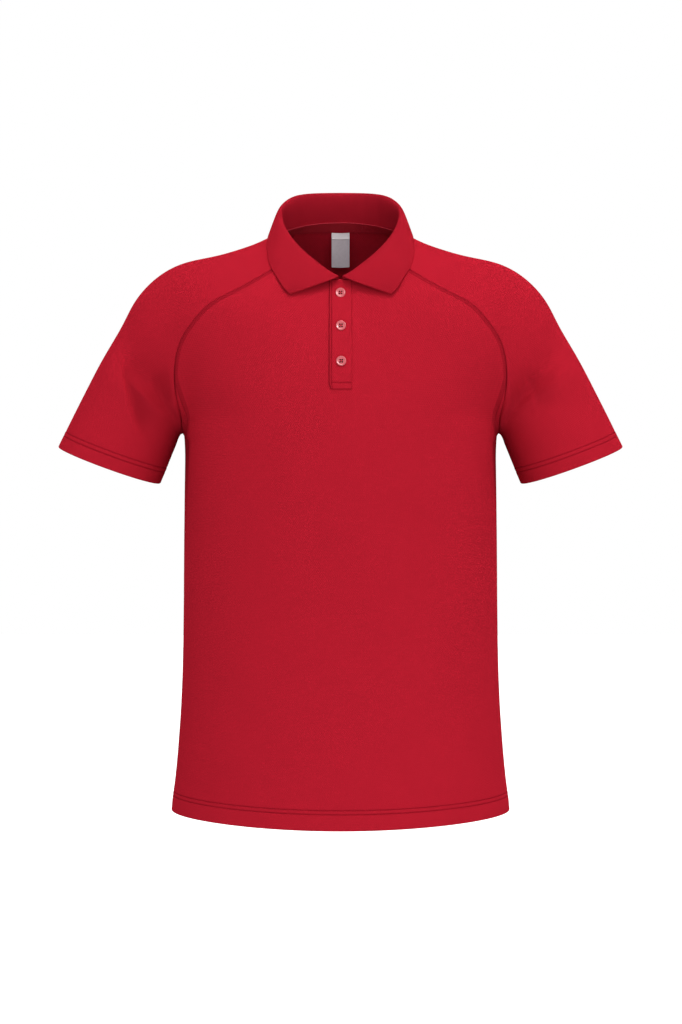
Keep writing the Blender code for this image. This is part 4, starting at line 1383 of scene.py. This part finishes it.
def placket_grid(end):
    """A grid on the front's points, from the placket's end up to the neckline."""
    half = PLACKET_WIDTH / 2
    across = strip_steps(PLACKET_WIDTH, np.array(EDGE_SPOTS) * MM, 0.005, 15) - half
    bottom = place_of(end)
    metres = (NECK_FRONT - end) / (TOP_PLACE - bottom)
    low = np.array(END_SPOTS) * MM / metres + bottom
    places = np.concatenate([low, np.linspace(low[-1], 1.985, 60)[1:], [1.990, 1.994, 1.996, TOP_PLACE]])
    grid = []
    for place in places:
        row = body_row(place, 1)
        up = (place - bottom) * metres
        x = across + CORNER_CUT * (1 - ease(up / CORNER_RISE)) * (-across / half).clip(0, 1) ** 3
        grid.append(np.column_stack([x, sample(abs(x), row[:, 0], row)[:, 1:]]))
    grid = np.array(grid)
    up = lengths(grid[:, len(across) // 2])
    grid[..., 2] += 1.5 * MM * ease(1 - (up[-1] - up) / 0.006)[:, None] * bell(across, 0.0045)
    return grid, across, up


def make_placket(node, end, base, raised):
    """A strip at the front's slit. The raised one is stitched down, and its buttons press into it."""
    grid, across, up = placket_grid(end)
    left = across + PLACKET_WIDTH / 2 + np.zeros((len(up), 1))
    right = PLACKET_WIDTH - left
    low = up[:, None] + np.zeros_like(left)
    edge = np.minimum.reduce([left, right, low, up[-1] - low])
    thickness = CLOTH * (0.2 + 0.8 * rounded(edge, 0.9 * MM))
    heights = base + thickness
    painted_shade = np.zeros_like(left)
    if raised:
        side_row, end_row, turn = SIDE_ROW * MM, END_ROW * MM, 1.2 * MM
        heights = heights + trough(left, side_row) + trough(low, end_row) * (left > side_row)
        heights = heights - 0.7 * MM * ease(1 - right / turn) - 0.8 * MM * ease(1 - low / turn)
        # Painted shade along the stitch rows and the sewn-down edges, and a painted shadow beside the free
        # edge.
        across_row = row_shade(low, end_row) * (left > 2.5 * MM)
        sewn_down_shade = 0.30 * bell(np.minimum(right, low), 0.6 * MM)
        free_edge_shadow = 0.90 * bell(left, 0.7 * MM)
        painted_shade = np.maximum.reduce([row_shade(left, side_row), across_row, sewn_down_shade, free_edge_shadow])
        for x, z in BUTTON_PLACES:
            away = np.hypot(grid[..., 0] - x, grid[..., 2] - z)
            heights = heights - 0.28 * MM * bell(away, 0.0055)
        heights = heights + 0.10 * MM * waves(low, lengths_mm=(9.1, 14.3), seed=7) * ease(left / 0.004)
    obj, outer, normals = wall(node + "_cloth", grid, heights, thickness, grain_at(left, low), painted_shade, jersey)
    dress(obj, node)
    if raised:
        column = EDGE_SPOTS.index(SIDE_ROW)
        row = END_SPOTS.index(END_ROW)
        rows = [(outer[:-4, column], normals[:-4, column]), (outer[row, column:-2], normals[row, column:-2])]
        add_stitches("placket_stitches", rows, thread, "jersey", pitch=2.7 * MM, length=2.3 * MM)
    return obj


top_piece = make_placket("placket_top", PLACKET_END, GAP, True)
under_piece = make_placket("placket_under", SLIT_END - 0.004, -2 * CLOTH - GAP, False)

BUTTON_SHAPE = (  # radius as a share of the button's, height in mm, from the back over the rim to the dish
    (0.20, 0.00), (0.55, 0.00), (0.80, 0.25), (0.95, 0.70),
    (1.00, 1.25), (0.99, 1.70), (0.96, 2.02), (0.92, 2.20),
    (0.88, 2.26), (0.84, 2.25), (0.79, 2.12), (0.73, 1.92),
    (0.67, 1.76), (0.61, 1.68), (0.54, 1.65), (0.35, 1.64),
    (0.20, 1.64),
)
BUTTON_SIDES = 72
BUTTON_SWING = 0.6  # how far a button hangs upright on its thread, from 0 to 1
HOLE_RADIUS = 1.05 * MM
HOLE_OFFSET = 1.90 * MM
HOLES = [
    np.array([math.cos(angle), math.sin(angle), 0.0]) * HOLE_OFFSET
    for angle in math.pi / 4 + np.arange(4) * math.pi / 2
]


def frame_at(x, z):
    """The placket's surface at a place, and the upward and outward ways of a button there."""
    rows = [body_row(place_of(z) + step, 1) for step in (-0.02, 0.0, 0.02)]
    below, spot, above = (np.array([x, *sample(abs(x), row[:, 0], row)[1:]]) for row in rows)
    lean = unit(unit(above - below) * (1 - BUTTON_SWING) + np.array([0.0, 0.0, BUTTON_SWING]))
    return spot, lean, np.array([0.0, -lean[2], lean[1]])


def turned(shape, radius, sides):
    """Points and faces of a turned shape with flat ends, round +Z."""
    points = [(0.0, 0.0, shape[0][1] * MM), (0.0, 0.0, shape[-1][1] * MM)]
    angles = np.arange(sides) * 2 * math.pi / sides
    for share, height in shape:
        for angle in angles:
            points.append((math.cos(angle) * share * radius, math.sin(angle) * share * radius, height * MM))
    faces = []
    last = 2 + (len(shape) - 1) * sides
    for side in range(sides):
        after = (side + 1) % sides
        faces.append((0, 2 + after, 2 + side))
        faces.append((1, last + side, last + after))
        for ring in range(len(shape) - 1):
            low = 2 + ring * sides
            faces.append((low + side, low + after, low + sides + after, low + sides + side))
    return points, faces


def button_mesh(name):
    """A four-hole button about its own axis, its holes cut through."""
    button = add_object(name, *turned(BUTTON_SHAPE, BUTTON_RADIUS, BUTTON_SIDES), resin)
    pin, pin_faces = turned(((1.0, -1.0), (1.0, 3.5)), HOLE_RADIUS, 20)
    cutters = [add_object(f"{name}_hole", np.array(pin) + spot, pin_faces, resin) for spot in HOLES]
    bpy.context.view_layer.update()
    for cutter in cutters:
        cut = button.modifiers.new(cutter.name, "BOOLEAN")
        cut.object = cutter
        cut.operation = "DIFFERENCE"
        cut.solver = "EXACT"
    bpy.context.view_layer.update()
    shaped = bpy.data.meshes.new_from_object(button.evaluated_get(bpy.context.evaluated_depsgraph_get()))
    button.modifiers.clear()
    button.data = shaped
    for cutter in cutters:
        bpy.data.objects.remove(cutter, do_unlink=True)
    shaped.set_sharp_from_angle(angle=math.radians(40))
    shaped.materials.clear()
    shaped.materials.append(resin)
    shaped.materials.append(hole_shade_resin)
    # The walls of the holes take the dark copy of the resin, as painted shade.
    for face in shaped.polygons:
        from_hole = min(math.hypot(face.center.x - x, face.center.y - y) for x, y, _ in HOLES)
        face.material_index = int(from_hole < HOLE_RADIUS * 1.001 and abs(face.normal.z) < 0.5)
    return button


def tube(path, radius, sides=8):
    """Points and faces of a round thread along a path."""
    points = []
    for centre, run in zip(path, np.gradient(path, axis=0)):
        run = unit(run)
        beside = unit(np.cross(run, (0.31, 0.17, 0.93) if abs(run[2]) < 0.8 else (1.0, 0.2, 0.0)))
        upward = np.cross(run, beside)
        for angle in np.arange(sides) * 2 * math.pi / sides:
            points.append(centre + (beside * math.cos(angle) + upward * math.sin(angle)) * radius)
    return points, tube_faces(len(path), sides)


def joined(parts):
    """The points and faces of several parts as one."""
    points, faces = [], []
    for some, more in parts:
        faces += [tuple(index + len(points) for index in face) for face in more]
        points += list(some)
    return points, faces


STRAND = 0.20 * MM  # radius of the thread through the holes
STRANDS_APART = 0.18  # mm from a pair's middle to each of its strands
THREAD_BASE = 1.84  # mm, the height of the lower pair over the button's back
THREAD_LIFT = 0.25  # mm, how much higher the upper pair crosses


def cross_thread():
    """An X of thread through the four holes, two strands each way."""
    parts = []
    hole = (HOLE_OFFSET - 0.95 * MM) / math.sqrt(2)
    share = np.linspace(-1, 1, 17)
    reach = np.clip(share * 1.30, -1, 1) * hole
    drop = 2.2 * ease((abs(share) - 0.66) / 0.34)
    for turn, lift in ((1, 0.0), (-1, THREAD_LIFT)):
        height = THREAD_BASE + lift * (1 - share * share) - drop
        for strand in (-STRANDS_APART, STRANDS_APART):
            offset = np.array([-turn, 1.0, 0.0]) / math.sqrt(2) * strand * MM
            parts.append(tube(np.column_stack([reach, turn * reach, height * MM]) + offset, STRAND))
    return joined(parts)


def thread_ends():
    """The thread that fills the bottom of each hole, coloured almost black as painted shade."""
    points, faces = turned(((1.0, 0.10), (1.0, 0.70), (0.7, 0.85)), HOLE_RADIUS - 0.08 * MM, 16)
    return joined((np.array(points) + spot, faces) for spot in HOLES)


button_thread = thread_material("button thread", (0.80, 0.030, 0.060, 1.0))
# A near-black copy of the thread for inside the holes: painted shade.
hole_shade_thread = thread_material("thread painted with the holes' shade", (0.075, 0.003, 0.006, 1.0))


def place_on_placket(obj, x, z):
    """Moves a piece that stands on its own +Z axis onto the placket."""
    centre, lean, outward = frame_at(x, z)
    turn = np.column_stack([np.cross(lean, outward), lean, outward])
    spots = np.array([vertex.co for vertex in obj.data.vertices], float)
    spots = spots @ turn.T + centre + outward * (CLOTH + 2 * GAP)
    obj.data.vertices.foreach_set("co", spots.astype(np.float32).ravel())
    obj.data.update()


for number, (button_x, button_z) in enumerate(BUTTON_PLACES, 1):
    name = f"button_{number}"
    button = button_mesh(name + "_resin")
    place_on_placket(button, button_x, button_z)
    dress(button, name)
    cross = add_object(name + "_thread", *cross_thread(), button_thread)
    ends = add_object(name + "_thread_ends", *thread_ends(), hole_shade_thread)
    for piece in (cross, ends):
        place_on_placket(piece, button_x, button_z)
        dress(piece)

# ----------------------------------------
# Studio

FRAME_HEIGHT = 1024  # pixels of the photograph
SCALE = 785.0  # pixels a metre in the plane through the shoulders
CAMERA_DISTANCE = 2.35
CAMERA_X = 0.0006
CAMERA_Z = -0.357
SENSOR = 36.0

camera_data = bpy.data.cameras.new("camera")
camera_data.sensor_fit = "VERTICAL"
camera_data.sensor_height = SENSOR
camera_data.lens = SENSOR * SCALE * CAMERA_DISTANCE / FRAME_HEIGHT
camera = place_in_scene("camera", camera_data)
camera.location = (CAMERA_X, -CAMERA_DISTANCE, CAMERA_Z)
camera.rotation_euler = (math.radians(90), 0.0, 0.0)
bpy.context.scene.camera = camera

AREA_LIGHTS = (  # name, place, size, power
    ("key", (1.5, -2.6, -0.6), 1.6, 6.0),
    ("low", (0.6, -2.2, -2.2), 1.6, 23.0),
    ("side", (2.8, -0.6, 0.2), 1.6, 5.5),
    ("top", (0.3, -0.9, 2.4), 1.8, 27.0),
    ("high", (0.2, -1.3, 2.3), 0.9, 10.5),
    ("glint", (1.8, -1.9, 1.6), 1.7, 170.0),
    ("back_right", (1.6, 2.2, 1.0), 1.8, 45.0),
    ("back_left", (-1.6, 2.2, 1.0), 1.8, 35.0),
)
TARGET = (0.0, 0.0, -0.35)
for name, place, size, power in AREA_LIGHTS:
    data = bpy.data.lights.new(name, "AREA")
    data.shape = "DISK"
    data.size = size
    data.energy = power
    lamp = place_in_scene(name, data)
    lamp.location = place
    x, y, z = np.array(TARGET) - np.array(place)
    lamp.rotation_euler = (math.atan2(math.hypot(x, y), -z), 0.0, math.atan2(-x, y))
    lamp.visible_diffuse = name != "glint"  # it shows only as a reflection, on the buttons

AMBIENT_FRONT = 0.91  # strength of the surrounding light from the viewer's side
AMBIENT_BACK = 0.15  # and from behind the shirt
WHITE = (1.0, 1.0, 1.0, 1.0)
world = bpy.data.worlds.new("studio")
world.use_nodes = True
bpy.context.scene.world = world
sky = world.node_tree
background = sky.nodes["Background"]
seen = add_node(sky, "ShaderNodeBackground", {"Color": WHITE, "Strength": 1.0})
background.inputs["Color"].default_value = WHITE
direction = add_node(sky, "ShaderNodeTexCoord").outputs["Generated"]
backward = add_node(sky, "ShaderNodeSeparateXYZ", {"Vector": direction}).outputs["Y"]
middle = (AMBIENT_BACK + AMBIENT_FRONT) / 2
strength = total(sky, middle, (backward, (AMBIENT_BACK - AMBIENT_FRONT) / 2))
sky.links.new(strength, background.inputs["Strength"])
path = add_node(sky, "ShaderNodeLightPath")
both = add_node(sky, "ShaderNodeMixShader", {0: path.outputs["Is Camera Ray"]})
sky.links.new(background.outputs[0], both.inputs[1])
sky.links.new(seen.outputs[0], both.inputs[2])
sky.links.new(both.outputs[0], sky.nodes["World Output"].inputs["Surface"])

FLOOR_Z = -1.45
FLOOR_REACH = 14.0
floor_points = [(x * FLOOR_REACH, y * FLOOR_REACH, FLOOR_Z) for x, y in ((-1, -1), (1, -1), (1, 1), (-1, 1))]
floor_look = {"Base_Color": (0.9, 0.9, 0.9, 1.0), "Roughness": 0.9}
floor_material = blank("pale floor", Emission_Color=WHITE, Emission_Strength=1.0, **floor_look)[0]
floor = add_object("floor", floor_points, [(0, 1, 2, 3)], floor_material)
floor.visible_diffuse = False
floor.visible_glossy = False

bpy.context.scene.view_settings.view_transform = "Standard"
bpy.context.scene.view_settings.look = "None"
